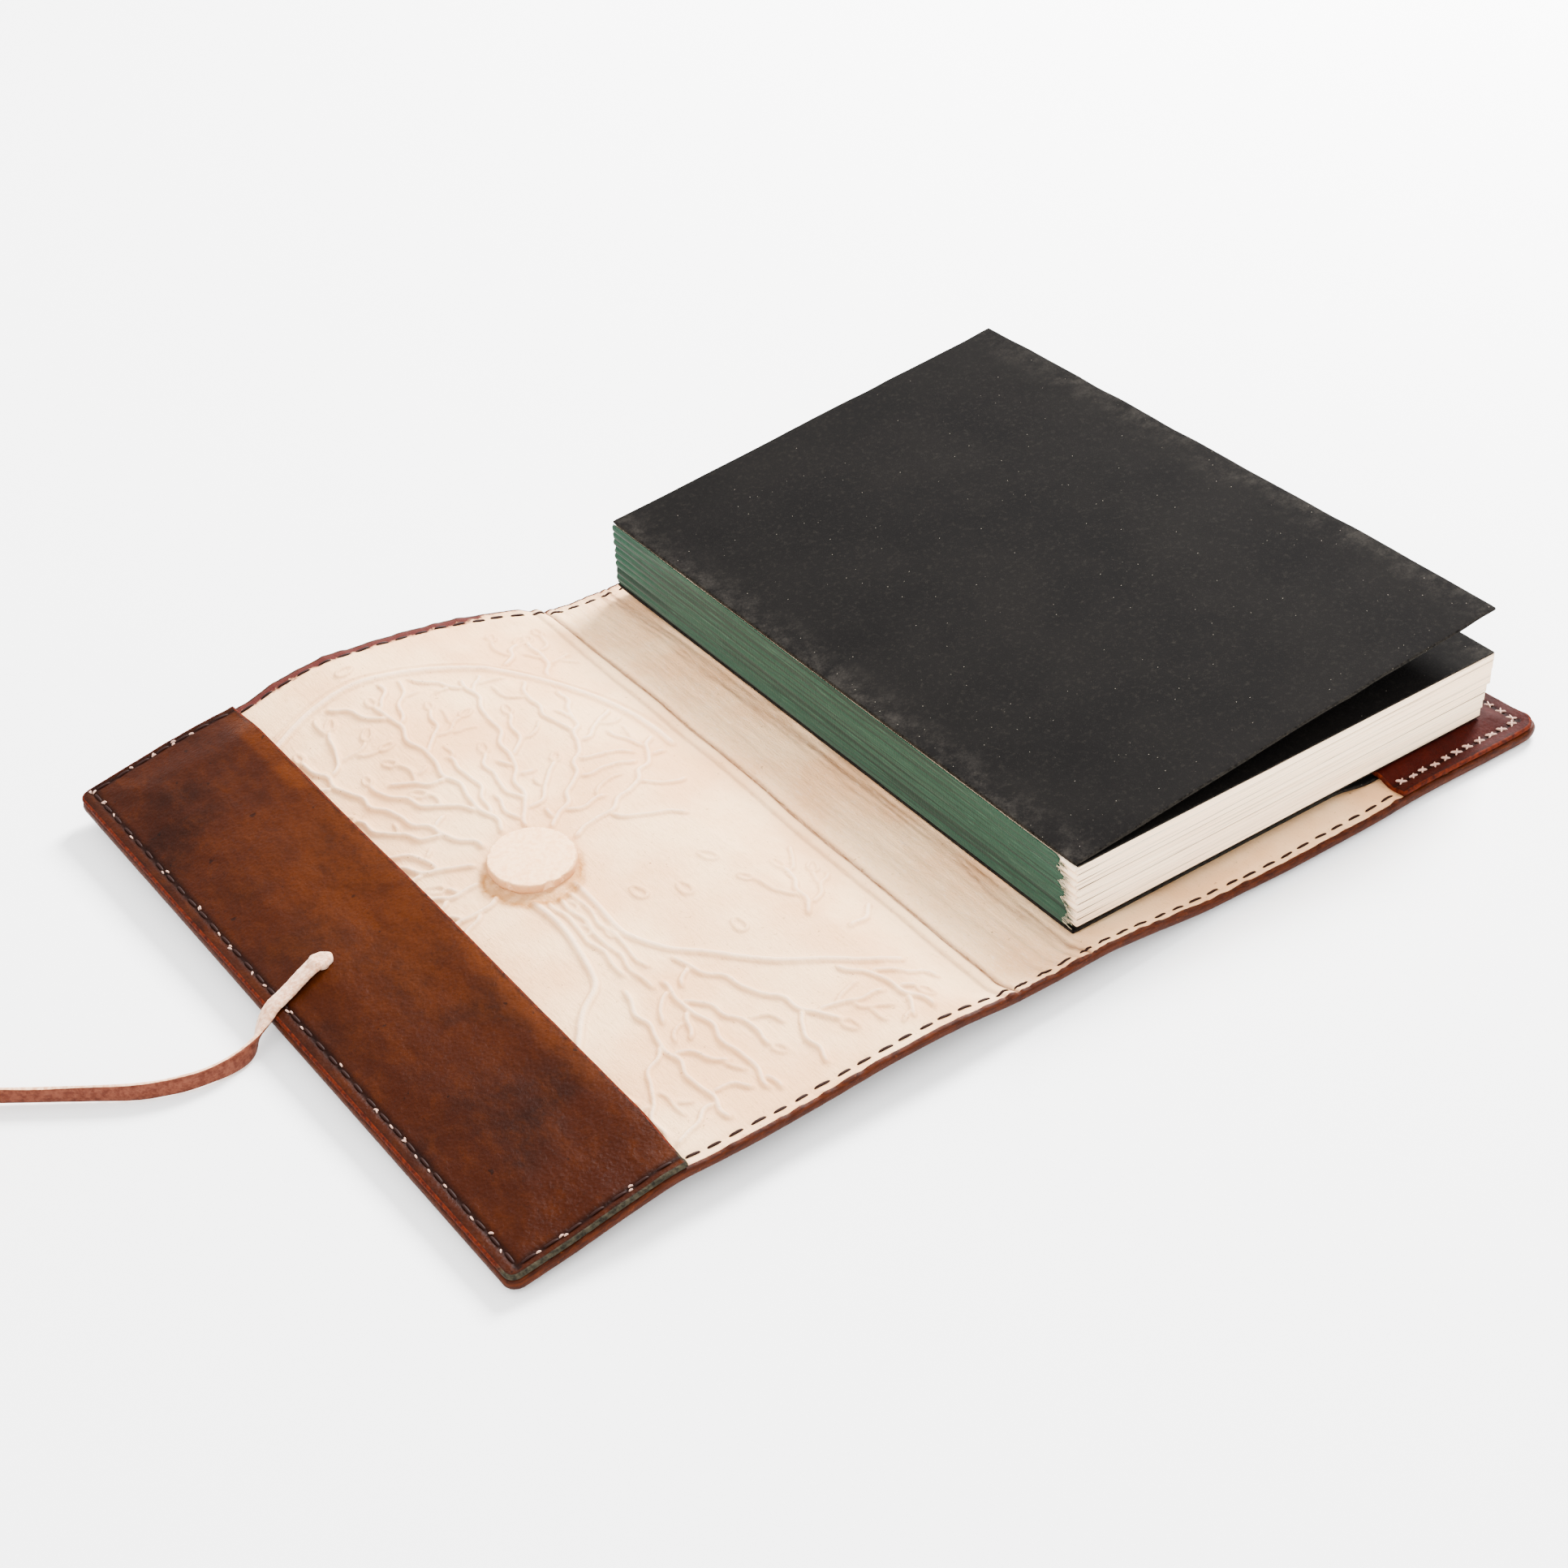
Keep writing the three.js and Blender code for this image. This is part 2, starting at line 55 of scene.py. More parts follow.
def place_camera():
    az, el, roll = (math.radians(a) for a in (CAMERA_AZIMUTH, CAMERA_ELEVATION, CAMERA_ROLL))
    back = Vector((math.sin(az) * math.cos(el), -math.cos(az) * math.cos(el), math.sin(el)))
    level = Vector((math.cos(az), math.sin(az), 0))
    rise = back.cross(level)
    right = math.cos(roll) * level + math.sin(roll) * rise
    up = math.cos(roll) * rise - math.sin(roll) * level
    data = bpy.data.cameras.new("camera")
    data.sensor_width = SENSOR
    data.lens = SENSOR * FOCAL_IN_WIDTHS
    data.clip_start, data.clip_end = 0.01, 20
    camera = bpy.data.objects.new("camera", data)
    bpy.context.scene.collection.objects.link(camera)
    turn = Matrix((right, up, back)).transposed().to_4x4()
    camera.matrix_world = Matrix.Translation(CAMERA_AT) @ turn
    bpy.context.scene.camera = camera


# ---------------------------------------------------------------- numbers
def smoothstep(t):
    t = np.clip(t, 0, 1)
    return t * t * (3 - 2 * t)


def curve(x, knots):
    """A smooth line through (x, value) knots that never overshoots them."""
    k = np.array(knots, float)
    xs, ys = k[:, 0], k[:, 1]
    h = np.diff(xs)
    d = np.diff(ys) / h
    same = d[1:] * d[:-1] > 0
    inner = np.where(same, 2 * d[1:] * d[:-1] / np.where(same, d[1:] + d[:-1], 1), 0)
    m = np.concatenate([[d[0]], inner, [d[-1]]])
    x = np.clip(x, xs[0], xs[-1])
    i = np.clip(np.searchsorted(xs, x) - 1, 0, len(h) - 1)
    t = (x - xs[i]) / h[i]
    t2, t3 = t * t, t * t * t
    a = (2 * t3 - 3 * t2 + 1) * ys[i] + (t3 - 2 * t2 + t) * h[i] * m[i]
    return a + (3 * t2 - 2 * t3) * ys[i + 1] + (t3 - t2) * h[i] * m[i + 1]


def bumps(x, y, cell_x, cell_y, seed):
    """Smooth random heights from -1 to 1, with cells of the given size."""
    grid = np.random.default_rng(seed).uniform(-1, 1, (128, 128))
    u, v = np.asarray(x) / cell_x, np.asarray(y) / cell_y
    iu, iv = np.floor(u).astype(int), np.floor(v).astype(int)
    fu, fv = smoothstep(u - iu), smoothstep(v - iv)
    a = grid[iu % 128, iv % 128] * (1 - fu) + grid[(iu + 1) % 128, iv % 128] * fu
    b = grid[iu % 128, (iv + 1) % 128] * (1 - fu) + grid[(iu + 1) % 128, (iv + 1) % 128] * fu
    return a * (1 - fv) + b * fv


def bell(d, width):
    return np.exp(-((d / width) ** 2))


def distances(points):
    """How far along a line each of its points lies."""
    return np.r_[0, np.cumsum(np.linalg.norm(np.diff(points, axis=0), axis=1))]


def directions(points):
    """The unit direction of a line at each of its points."""
    tangent = np.gradient(points, axis=0)
    return tangent / np.linalg.norm(tangent, axis=1)[:, None]


def full_turn(sides):
    """The angles of a ring's points."""
    return np.arange(sides) * 2 * math.pi / sides


def bands(rows, sides):
    """The faces of a tube made of rings of points."""
    i = np.arange(rows - 1)[:, None] * sides
    j = np.arange(sides)[None]
    k = (j + 1) % sides
    return np.stack([i + j, i + k, i + sides + k, i + sides + j], -1).reshape(-1, 4)


# ---------------------------------------------------------------- meshes
def build(name, verts, faces, mats, index=None, attrs=None):
    """One mesh object from points in mm; faces is a list of arrays of equal-sided faces."""
    me = bpy.data.meshes.new(name)
    verts = np.asarray(verts, np.float32) * MM
    blocks = [np.asarray(f, np.int32) for f in faces if len(f)]
    loops = np.concatenate([f.ravel() for f in blocks])
    sizes = np.concatenate([np.full(len(f), f.shape[1]) for f in blocks])
    starts = np.concatenate([[0], np.cumsum(sizes)[:-1]]).astype(np.int32)
    me.vertices.add(len(verts))
    me.vertices.foreach_set("co", verts.ravel())
    me.loops.add(len(loops))
    me.loops.foreach_set("vertex_index", loops)
    me.polygons.add(len(sizes))
    me.polygons.foreach_set("loop_start", starts)
    for m in mats:
        me.materials.append(m)
    if index is not None:
        me.polygons.foreach_set("material_index", np.asarray(index, np.int32))
    me.update(calc_edges=True)
    me.polygons.foreach_set("use_smooth", np.full(len(sizes), True))
    for key, values in (attrs or {}).items():
        values = np.asarray(values, np.float32)
        kind = "FLOAT_VECTOR" if values.ndim == 2 else "FLOAT"
        layer = me.attributes.new(key, kind, "POINT")
        layer.data.foreach_set("vector" if values.ndim == 2 else "value", values.ravel())
    obj = bpy.data.objects.new(name, me)
    bpy.context.scene.collection.objects.link(obj)
    return obj


class Heap:
    """Many small closed shapes gathered into one mesh."""

    def __init__(self):
        self.verts, self.quads, self.tris, self.count = [], [], [], 0

    def add(self, verts, quads=(), tris=()):
        self.verts.append(np.asarray(verts, float))
        if len(quads):
            self.quads.append(np.asarray(quads) + self.count)
        if len(tris):
            self.tris.append(np.asarray(tris) + self.count)
        self.count += len(verts)

    def tube(self, path, widths, heights=None, sides=8, ups=None):
        """A tube along path with an elliptic section, closed to a point at each end."""
        path = np.asarray(path, float)
        n = len(path)
        widths = np.broadcast_to(widths, n).astype(float)
        heights = widths if heights is None else np.broadcast_to(heights, n).astype(float)
        tangent = directions(path)
        up = np.tile([0.0, 0, 1], (n, 1)) if ups is None else np.asarray(ups, float)
        side = np.cross(up, tangent)
        side /= np.linalg.norm(side, axis=1)[:, None] + 1e-9
        up = np.cross(tangent, side)
        a = full_turn(sides)
        ring = path[:, None] + side[:, None] * (np.cos(a)[None, :, None] * widths[:, None, None])
        ring = ring + up[:, None] * (np.sin(a)[None, :, None] * heights[:, None, None])
        verts = np.concatenate([ring.reshape(-1, 3), path[:1], path[-1:]])
        first, last = n * sides, n * sides + 1
        j = np.arange(sides)
        k = (j + 1) % sides
        tris = np.concatenate([
            np.stack([np.full(sides, first), k, j], -1),
            np.stack([np.full(sides, last), last - 1 - sides + j, last - 1 - sides + k], -1),
        ])
        self.add(verts, bands(n, sides), tris)

    def make(self, name, mats, **more):
        faces = []
        if self.quads:
            faces.append(np.concatenate(self.quads))
        if self.tris:
            faces.append(np.concatenate(self.tris))
        return build(name, np.concatenate(self.verts), faces, mats, **more)


# ---------------------------------------------------------------- the hide
NEAR, FAR = -95.5, 95.0
LEATHER = 2.4
NEAR_EDGE = [(-141, 2.6), (-139.3, 2.8), (-125, 4.7), (-112, 6.8), (-97.5, 8.4), (-82, 8.2), (-67, 8.0),
             (-45, 9.0), (-30, 8.8), (-15, 7.7), (-4, 7.5), (7, 7.6), (20, 6.3), (41, 3.7), (70, 3.1), (100, 3.1), (130, 2.6),
             (136, 3.0), (142, 5.0)]
FAR_EDGE = [(-141, 5.5), (-139, 5.9), (-125, 8.5), (-112, 10.9), (-98, 12.6), (-85, 15.4), (-73, 17.0),
            (-62, 16.0), (-51, 14.5), (-37, 12.1), (-24, 8.3), (-15, 4.4), (-10, 2.9), (0, 2.5), (12, 2.4), (142, 2.45)]
MIDDLE = [(-20, 5.0), (6.4, 4.95), (15, 4.3), (45, 2.4), (142, 2.4)]
CREASE_AT = -13.4
PLAIN_PANEL = [(-141, 2.4), (-85.0, 12.4), (CREASE_AT, 5.0), (142, 5.0)]


def level(x, y):
    """How high the inside face of the leather stands above the table."""
    near, far, middle = curve(x, NEAR_EDGE), curve(x, FAR_EDGE), curve(x, MIDDLE)
    t = np.clip((y - NEAR) / (FAR - NEAR), -0.02, 1.02)
    front = near * (1 - t) + far * t
    curl = smoothstep((-86.6 - y) / 8.9)
    drop = smoothstep((y - 55) / 40)
    back = middle * (1 - curl - drop) + near * curl + far * drop
    share = smoothstep((x + 24) / 11)
    whole = front * (1 - share) + back * share
    # over the notebook's length the panel stays low enough to close flat on the notebook
    reach = CREASE_AT - x
    room = curve(x, PLAIN_PANEL) - 0.5 + 0.18 * np.clip(reach, 0, 200)
    over = np.clip(whole - room, 0, 9)
    within = smoothstep((reach - 1) / 4) * smoothstep((y + 94) / 9) * smoothstep((95 - y) / 8)
    return whole - over * within


def shift(x, y):
    """The front crease runs a little askew, and the near fore corner is drawn out."""
    crease = 1.5 * bell(x - CREASE_AT, 12) * y / FAR
    corner = 1.6 * bell(y - NEAR, 26) * smoothstep((x - 100) / 39)
    return crease + corner


def on_hide(x, y, h=0.0):
    """A point h above the inside face of the leather, in mm."""
    x, y = np.asarray(x, float), np.asarray(y, float)
    e = 0.25
    sx = (level(x + e, y) - level(x - e, y)) / (2 * e)
    sy = (level(x, y + e) - level(x, y - e)) / (2 * e)
    n = np.stack([-sx, -sy, np.ones_like(sx)], -1)
    n /= np.linalg.norm(n, axis=-1)[..., None]
    p = np.stack([x + shift(x, y), y, level(x, y)], -1)
    return p + n * np.asarray(h)[..., None]


def hide_normal(x, y):
    a, b = on_hide(x, y, 0.0), on_hide(x, y, 1.0)
    return b - a


# ---------------------------------------------------------------- pressed tree
class Relief:
    CELL = 0.25

    def __init__(self, low, high):
        self.low = np.array(low, float)
        shape = np.ceil((np.array(high) - self.low) / self.CELL).astype(int) + 1
        self.grid = np.zeros(shape)

    def stroke(self, points, width, height):
        p = np.asarray(points, float)
        step = distances(p)
        s = np.arange(0, step[-1], 0.2)
        x, y = np.interp(s, step, p[:, 0]), np.interp(s, step, p[:, 1])
        tall = height * np.clip(np.minimum(s, step[-1] - s) / 1.5 + 0.25, 0, 1)
        ix = np.round((x - self.low[0]) / self.CELL).astype(int)
        iy = np.round((y - self.low[1]) / self.CELL).astype(int)
        reach = int(np.ceil(2.2 * width / self.CELL))
        for dx in range(-reach, reach + 1):
            for dy in range(-reach, reach + 1):
                jx, jy = ix + dx, iy + dy
                ok = (jx >= 0) & (jy >= 0) & (jx < self.grid.shape[0]) & (jy < self.grid.shape[1])
                d2 = (jx * self.CELL + self.low[0] - x) ** 2 + (jy * self.CELL + self.low[1] - y) ** 2
                np.maximum.at(self.grid, (jx[ok], jy[ok]), (tall * np.exp(-d2 / width**2))[ok])

    def at(self, x, y):
        u = np.clip((x - self.low[0]) / self.CELL, 0, self.grid.shape[0] - 1.001)
        v = np.clip((y - self.low[1]) / self.CELL, 0, self.grid.shape[1] - 1.001)
        iu, iv = u.astype(int), v.astype(int)
        fu, fv = u - iu, v - iv
        g = self.grid
        a = g[iu, iv] * (1 - fu) + g[iu + 1, iv] * fu
        b = g[iu, iv + 1] * (1 - fu) + g[iu + 1, iv + 1] * fu
        return a * (1 - fv) + b * fv


DISC_AT = np.array([-73.7, 0.0])
RING_AT, RING_RADIUS = np.array([-74.0, 27.0]), 52.5
LIMB_WIDTH = 0.68


def wander(rng, start, angle, length, bend=0.0, wave=0.35, period=11.0):
    s = np.arange(0, length, 0.5)
    swing = np.sin(2 * math.pi * s / period + rng.uniform(0, 6.28))
    swing = swing + 0.6 * np.sin(2 * math.pi * s / (0.57 * period) + rng.uniform(0, 6.28))
    heading = angle + bend * s / length + wave * swing
    steps = np.stack([np.cos(heading), np.sin(heading)], -1) * 0.5
    return np.asarray(start) + np.cumsum(steps, axis=0), heading


def grow_tree():
    """The tree pressed into the front panel. Limbs grow in turn, each as far as the ground is free."""
    rng = np.random.default_rng(11)
    relief = Relief((-138, -96), (-8, 96))
    taken = set()
    waiting = []

    def cells(points, reach=0):
        return {(int(round(x / 0.8)) + a, int(round(y / 0.8)) + b) for x, y in points
                for a in range(-reach, reach + 1) for b in range(-reach, reach + 1)}

    def free(points, inside, skip, reach):
        """How many of the points lie in open ground."""
        for i, point in enumerate(points[skip:]):
            if not inside(*point) or cells([point], reach) & taken:
                return i + skip
        return len(points)

    def leaf(at, angle, size=1.0):
        a = np.linspace(0, 2 * math.pi, 24)
        along, across = 2.2 * size * np.cos(a) + 2.2 * size, 1.15 * size * np.sin(a) * (1 - 0.25 * np.cos(a))
        x = at[0] + along * math.cos(angle) - across * math.sin(angle)
        y = at[1] + along * math.sin(angle) + across * math.cos(angle)
        relief.stroke(np.stack([x, y], -1), 0.45, 0.32)

    def limb(start, angle, length, depth, inside, bend, thick):
        points, heading = wander(rng, start, angle, length, bend, 0.3, rng.uniform(10, 15))
        keep = free(points, inside, 5 if depth == 0 else 7, 1)
        points, heading = points[:keep], heading[:keep]
        if len(points) < 9:
            return
        relief.stroke(points, thick, 0.48 if depth < 2 else 0.38)
        taken.update(cells(points, 1))
        side = rng.choice([-1, 1])
        if depth < 3:
            gap = (7, 7, 6)[depth]
            for i in range(5 + int(rng.integers(0, 5)), len(points) - 3, gap):
                side = -side
                size = (rng.uniform(16, 30), rng.uniform(9, 16), rng.uniform(5, 8))[depth]
                away = heading[i] + side * rng.uniform(0.55, 1.0)
                waiting.append((points[i], away, size, depth + 1, inside, -side * 0.7, thick * 0.9))
        tip, end = points[-1], heading[-1]
        ahead = np.array([tip + r * np.array([math.cos(end), math.sin(end)]) for r in (3.0, 4.4)])
        if free(ahead, inside, 0, 0) == 2:
            leaf(tip, end, rng.uniform(0.75, 1.0))
            taken.update(cells(ahead, 1))

    def grow():
        while waiting:
            limb(*waiting.pop(0))

    def in_crown(x, y):
        open_ground = math.hypot(x - DISC_AT[0], y - DISC_AT[1]) > 11.5
        return math.hypot(x - RING_AT[0], y - RING_AT[1]) < RING_RADIUS - 2.5 and y > -16 and open_ground

    def in_roots(x, y):
        return -132 < x < -24 and -89 < y < -38

    for angle in (90, 62, 36, 8, 118, 146, 172, 198):
        a = math.radians(angle)
        start = DISC_AT + 11.6 * np.array([math.cos(a), math.sin(a)])
        waiting.append((start, a, rng.uniform(58, 68), 0, in_crown, (math.radians(90) - a) * 0.8, LIMB_WIDTH))
    grow()
    # trunk: its two sides, run out into roots, and the strands between them
    left = [(-80.6, -11), (-80.2, -22), (-80.8, -32), (-83.5, -39), (-89, -45), (-95, -52), (-103, -58),
            (-114, -63)]
    right = [(-70.2, -11), (-70.6, -22), (-70, -31), (-67, -39), (-61, -46), (-54, -53), (-46, -61),
             (-37, -67), (-27, -72)]
    for outline in (left, right):
        s = np.arange(len(outline))
        t = np.linspace(0, len(outline) - 1, 90)
        knots = np.array(outline)
        line = np.stack([curve(t, np.stack([s, knots[:, k]], -1)) for k in (0, 1)], -1)
        line = line + 0.5 * np.stack([np.sin(t * 2.3), np.cos(t * 2.9)], -1)
        relief.stroke(line, 0.9, 0.5)
        taken.update(cells(line, 1))
    for x, low in ((-77.6, -43), (-75.2, -50), (-73.0, -44)):
        line, _ = wander(rng, (x, -12.5), math.radians(-90), -12.5 - low, 0, 0.2, 13)
        relief.stroke(line, 0.62, 0.42)
        taken.update(cells(line, 1))
    for x, y in ((-74.6, -19), (-76.6, -27), (-72.4, -31)):
        leaf((x, y), math.radians(90), 0.85)
    for x, y, angle in ((-85, -43, -115), (-80, -45, -100), (-73, -48, -84), (-67, -43, -64), (-59, -50, -62),
                        (-93, -52, -120), (-102, -59, -105), (-50, -58, -55), (-41, -66, -58)):
        length, bend = rng.uniform(32, 46), rng.uniform(-0.8, 0.8)
        waiting.append((np.array([x, y]), math.radians(angle), length, 0, in_roots, bend, LIMB_WIDTH))
    grow()
    for a0, a1, r, wide, tall in ((-4, 186, RING_RADIUS, 1.0, 0.55), (2, 178, RING_RADIUS + 2.5, 0.45, 0.24)):
        a = np.radians(np.linspace(a0, a1, 220))
        relief.stroke(RING_AT + r * np.stack([np.cos(a), np.sin(a)], -1), wide, tall)
    for x, y, angle in ((-51.7, -29, 92), (-49.6, -46, 86), (-40, -22, 120), (-74.5, 85, 20), (-60, -24, 100)):
        leaf((x, y), math.radians(angle), 1.1)

    def anywhere(x, y):
        outside = math.hypot(x - RING_AT[0], y - RING_AT[1]) > RING_RADIUS + 4
        return outside and -130 < x < -20 and abs(y) < 88

    for x, y, angle in ((-31, 61, 65), (-39, 70, 40), (-22, 44, 75), (-36, -50, 60), (-31, -58, 25),
                        (-112, 70, 130), (-120, 58, 150)):
        waiting.append((np.array([x, y]), math.radians(angle), 20, 1, anywhere, 0.4, LIMB_WIDTH))
    grow()
    return relief


TREE = grow_tree()


# ---------------------------------------------------------------- materials
DEEPEN = 1.62


def rgb(code):
    """The shader colour for a colour as it should look. The film-like view lifts and greys the
    darker tones, so they go in deeper."""
    channels = [int(code[i:i + 2], 16) / 255 for i in (0, 2, 4)]
    return (*[(c / 12.92 if c <= 0.04045 else ((c + 0.055) / 1.055) ** 2.4) ** DEEPEN for c in channels], 1)


class Paint:
    """One procedural material. Its textures follow the points' resting places, in mm."""

    def __init__(self, name, roughness=0.7, coat=0.0, sheen=0.0, gloss=0.25):
        self.mat = bpy.data.materials.new(name)
        self.mat.use_nodes = True
        self.tree = self.mat.node_tree
        self.shader = self.tree.nodes["Principled BSDF"]
        self.shader.inputs["Roughness"].default_value = roughness
        self.shader.inputs["Specular IOR Level"].default_value = gloss
        self.shader.inputs["Coat Weight"].default_value = coat
        self.shader.inputs["Coat Roughness"].default_value = 0.3
        self.shader.inputs["Sheen Weight"].default_value = sheen
        self.rest = self.value("rest", "Vector")

    def put(self, socket, value):
        if isinstance(value, bpy.types.NodeSocket):
            self.tree.links.new(value, socket)
        else:
            socket.default_value = value

    def value(self, name, output="Fac"):
        node = self.tree.nodes.new("ShaderNodeAttribute")
        node.attribute_name = name
        return node.outputs[output]

    def stretch(self, x, y, z):
        node = self.tree.nodes.new("ShaderNodeVectorMath")
        node.operation = "MULTIPLY"
        self.put(node.inputs[0], self.rest)
        node.inputs[1].default_value = (x, y, z)
        return node.outputs[0]

    def axis(self, name):
        node = self.tree.nodes.new("ShaderNodeSeparateXYZ")
        self.put(node.inputs[0], self.rest)
        return node.outputs[name]

    def radius(self):
        node = self.tree.nodes.new("ShaderNodeVectorMath")
        node.operation = "LENGTH"
        self.put(node.inputs[0], self.stretch(1, 1, 0))
        return node.outputs["Value"]

    def noise(self, scale, detail=4.0, roughness=0.55, along=None, warp=0.0):
        node = self.tree.nodes.new("ShaderNodeTexNoise")
        self.put(node.inputs["Vector"], along or self.rest)
        for key, v in (("Scale", scale), ("Detail", detail), ("Roughness", roughness), ("Distortion", warp)):
            node.inputs[key].default_value = v
        return node.outputs["Fac"]

    def cells(self, scale, output="Distance"):
        node = self.tree.nodes.new("ShaderNodeTexVoronoi")
        self.put(node.inputs["Vector"], self.rest)
        node.inputs["Scale"].default_value = scale
        return node.outputs[output]

    def math(self, operation, a, b=0.0):
        node = self.tree.nodes.new("ShaderNodeMath")
        node.operation = operation
        for socket, v in zip(node.inputs, (a, b)):
            self.put(socket, v)
        return node.outputs[0]

    def times(self, a, b):
        return self.math("MULTIPLY", a, b)

    def off(self, v, middle):
        return self.math("ABSOLUTE", self.math("SUBTRACT", v, middle))

    def uneven(self, distance, reach, scale, detail=4, roughness=0.55):
        """A distance made to wander by up to half of reach either way."""
        field = self.math("SUBTRACT", self.noise(scale, detail, roughness), 0.5)
        return self.math("ADD", distance, self.times(field, reach))

    def span(self, v, low, high, to_low=0.0, to_high=1.0):
        node = self.tree.nodes.new("ShaderNodeMapRange")
        node.interpolation_type = "SMOOTHSTEP"
        for socket, x in zip(node.inputs, (v, low, high, to_low, to_high)):
            self.put(socket, x)
        return node.outputs[0]

    def mix(self, share, a, b):
        node = self.tree.nodes.new("ShaderNodeMix")
        node.data_type = "RGBA"
        self.put(node.inputs[0], share)
        self.put(node.inputs[6], rgb(a) if isinstance(a, str) else a)
        self.put(node.inputs[7], rgb(b) if isinstance(b, str) else b)
        return node.outputs[2]

    def bump(self, height, distance, strength=1.0, under=None):
        node = self.tree.nodes.new("ShaderNodeBump")
        self.put(node.inputs["Height"], height)
        node.inputs["Distance"].default_value = distance * MM
        node.inputs["Strength"].default_value = strength
        if under is not None:
            self.put(node.inputs["Normal"], under)
        return node.outputs[0]

    def finish(self, color, roughness=None, normal=None):
        self.put(self.shader.inputs["Base Color"], rgb(color) if isinstance(color, str) else color)
        if roughness is not None:
            self.put(self.shader.inputs["Roughness"], roughness)
        if normal is not None:
            self.put(self.shader.inputs["Normal"], normal)
        return self.mat


def flesh_material():
    p = Paint("flesh_side", 0.9)
    cloudy = p.span(p.noise(0.035, 3), 0.35, 0.65)
    c = p.mix(cloudy, "f6d9b6", "eec9a2")
    fibrous = p.value("fibrous")
    strands = p.noise(1.0, 7, 0.8, along=p.stretch(2.4, 0.4, 1), warp=0.8)
    c = p.mix(p.times(fibrous, p.span(strands, 0.54, 0.8, 0, 0.6)), c, "c29260")
    c = p.mix(p.times(fibrous, p.span(strands, 0.5, 0.25, 0, 0.6)), c, "fbefe2")
    specks = p.span(p.noise(0.9, 5, 0.75), 0.6, 0.7)
    patches = p.span(p.noise(0.09, 3), 0.42, 0.62, 0.3, 1)
    c = p.mix(p.times(p.times(specks, patches), 0.95), c, "a87a4c")
    c = p.mix(p.span(p.noise(0.5, 7, 0.85), 0.52, 0.74, 0, 0.5), c, "d8b48c")
    ridge = p.value("ridge")
    # Painted shade: a darker tan round the foot of each ridge of the pressed tree.
    ridge_foot_shade = p.span(p.off(ridge, 0.3), 0.26, 0.04, 0, 0.32)
    c = p.mix(p.times(ridge_foot_shade, p.span(p.noise(0.12, 3), 0.35, 0.6, 0.3, 1)), c, "cfa278")
    # Painted highlight: the tops of the pressed tree's ridges are made lighter.
    c = p.mix(p.span(ridge, 0.55, 1, 0, 0.25), c, "fff3e6")
    # Darker crease lines: partly the leather's own colour, partly painted shade in the crease grooves.
    c = p.mix(p.times(p.value("crease"), p.span(strands, 0.3, 0.7, 0.55, 1)), c, "80502c")
    # A darker tan ring round the disc, widest on its near side.
    stain = p.times(p.value("stain"), p.span(p.noise(0.5, 3), 0.25, 0.6, 0.5, 1))
    c = p.mix(stain, c, "c69a64")
    ragged = p.uneven(p.value("rim"), 4.0, 0.4, 5, 0.7)
    ragged = p.math("SUBTRACT", ragged, p.value("bleed"))
    c = p.mix(p.span(ragged, 1.9, 0.9, 0, 0.45), c, "b5694a")
    c = p.mix(p.span(ragged, 1.3, 0.4), c, "6e2f1c")
    fine = p.noise(2.2, 6, 0.8)
    coarse = p.noise(1.0, 5, 0.7, along=p.stretch(1.3, 0.28, 1))
    normal = p.bump(fine, 0.3, 0.8, p.bump(coarse, 0.5, 0.7))
    return p.finish(c, None, normal)


def dyed_material(name, dark, main, light, rough=(0.4, 0.62), edge="3a1a0d", gloss=0.035):
    """Dyed grain leather: blotched, streaked, darker at its rim and lighter where it is worn."""
    grain = 0.16
    p = Paint(name, 0.5, gloss=gloss)
    blotch = p.noise(0.028, 5, 0.6, warp=0.3)
    c = p.mix(p.span(blotch, 0.34, 0.56, 0.25, 1), dark, main)
    streak = p.noise(0.22, 6, 0.72, along=p.stretch(1.0, 0.55, 1), warp=0.3)
    c = p.mix(p.times(p.span(streak, 0.42, 0.75), 0.4), c, light)
    c = p.mix(p.times(p.value("worn"), p.span(streak, 0.3, 0.6, 0.5, 1)), c, light)
    c = p.mix(p.span(p.noise(1.1, 6, 0.8), 0.5, 0.75, 0, 0.5), c, dark)
    c = p.mix(p.span(p.noise(0.35, 2, 0.5), 0.72, 0.76, 0, 0.6), c, edge)
    ragged = p.uneven(p.value("rim"), 2.2, 0.3)
    c = p.mix(p.span(ragged, 1.3, 0.1, 0, 0.6), c, edge)
    # Darker in the stitch groove: partly the pressed leather's own darker tone, partly painted shade in the groove.
    c = p.mix(p.times(p.value("groove"), 0.85), c, "24100a")
    pores = p.cells(1.2)
    wrinkle = p.noise(0.9, 5, 0.7, warp=1.0)
    normal = p.bump(pores, grain, 0.45, p.bump(wrinkle, grain * 2, 0.5))
    return p.finish(c, p.span(blotch, 0.3, 0.7, rough[1], rough[0]), normal)


def edge_material():
    p = Paint("burnished_edge", 0.5, gloss=0.06)
    lines = p.noise(1.0, 4, 0.6, along=p.stretch(0.35, 0.35, 3.0), warp=0.6)
    c = p.mix(p.span(lines, 0.3, 0.7), "4e2a0e", "6c401b")
    c = p.mix(p.span(p.noise(0.6, 4, 0.7), 0.6, 0.75, 0, 0.7), c, "8c5a34")
    return p.finish(c, None, p.bump(p.noise(2.2, 5, 0.7), 0.2, 0.5))


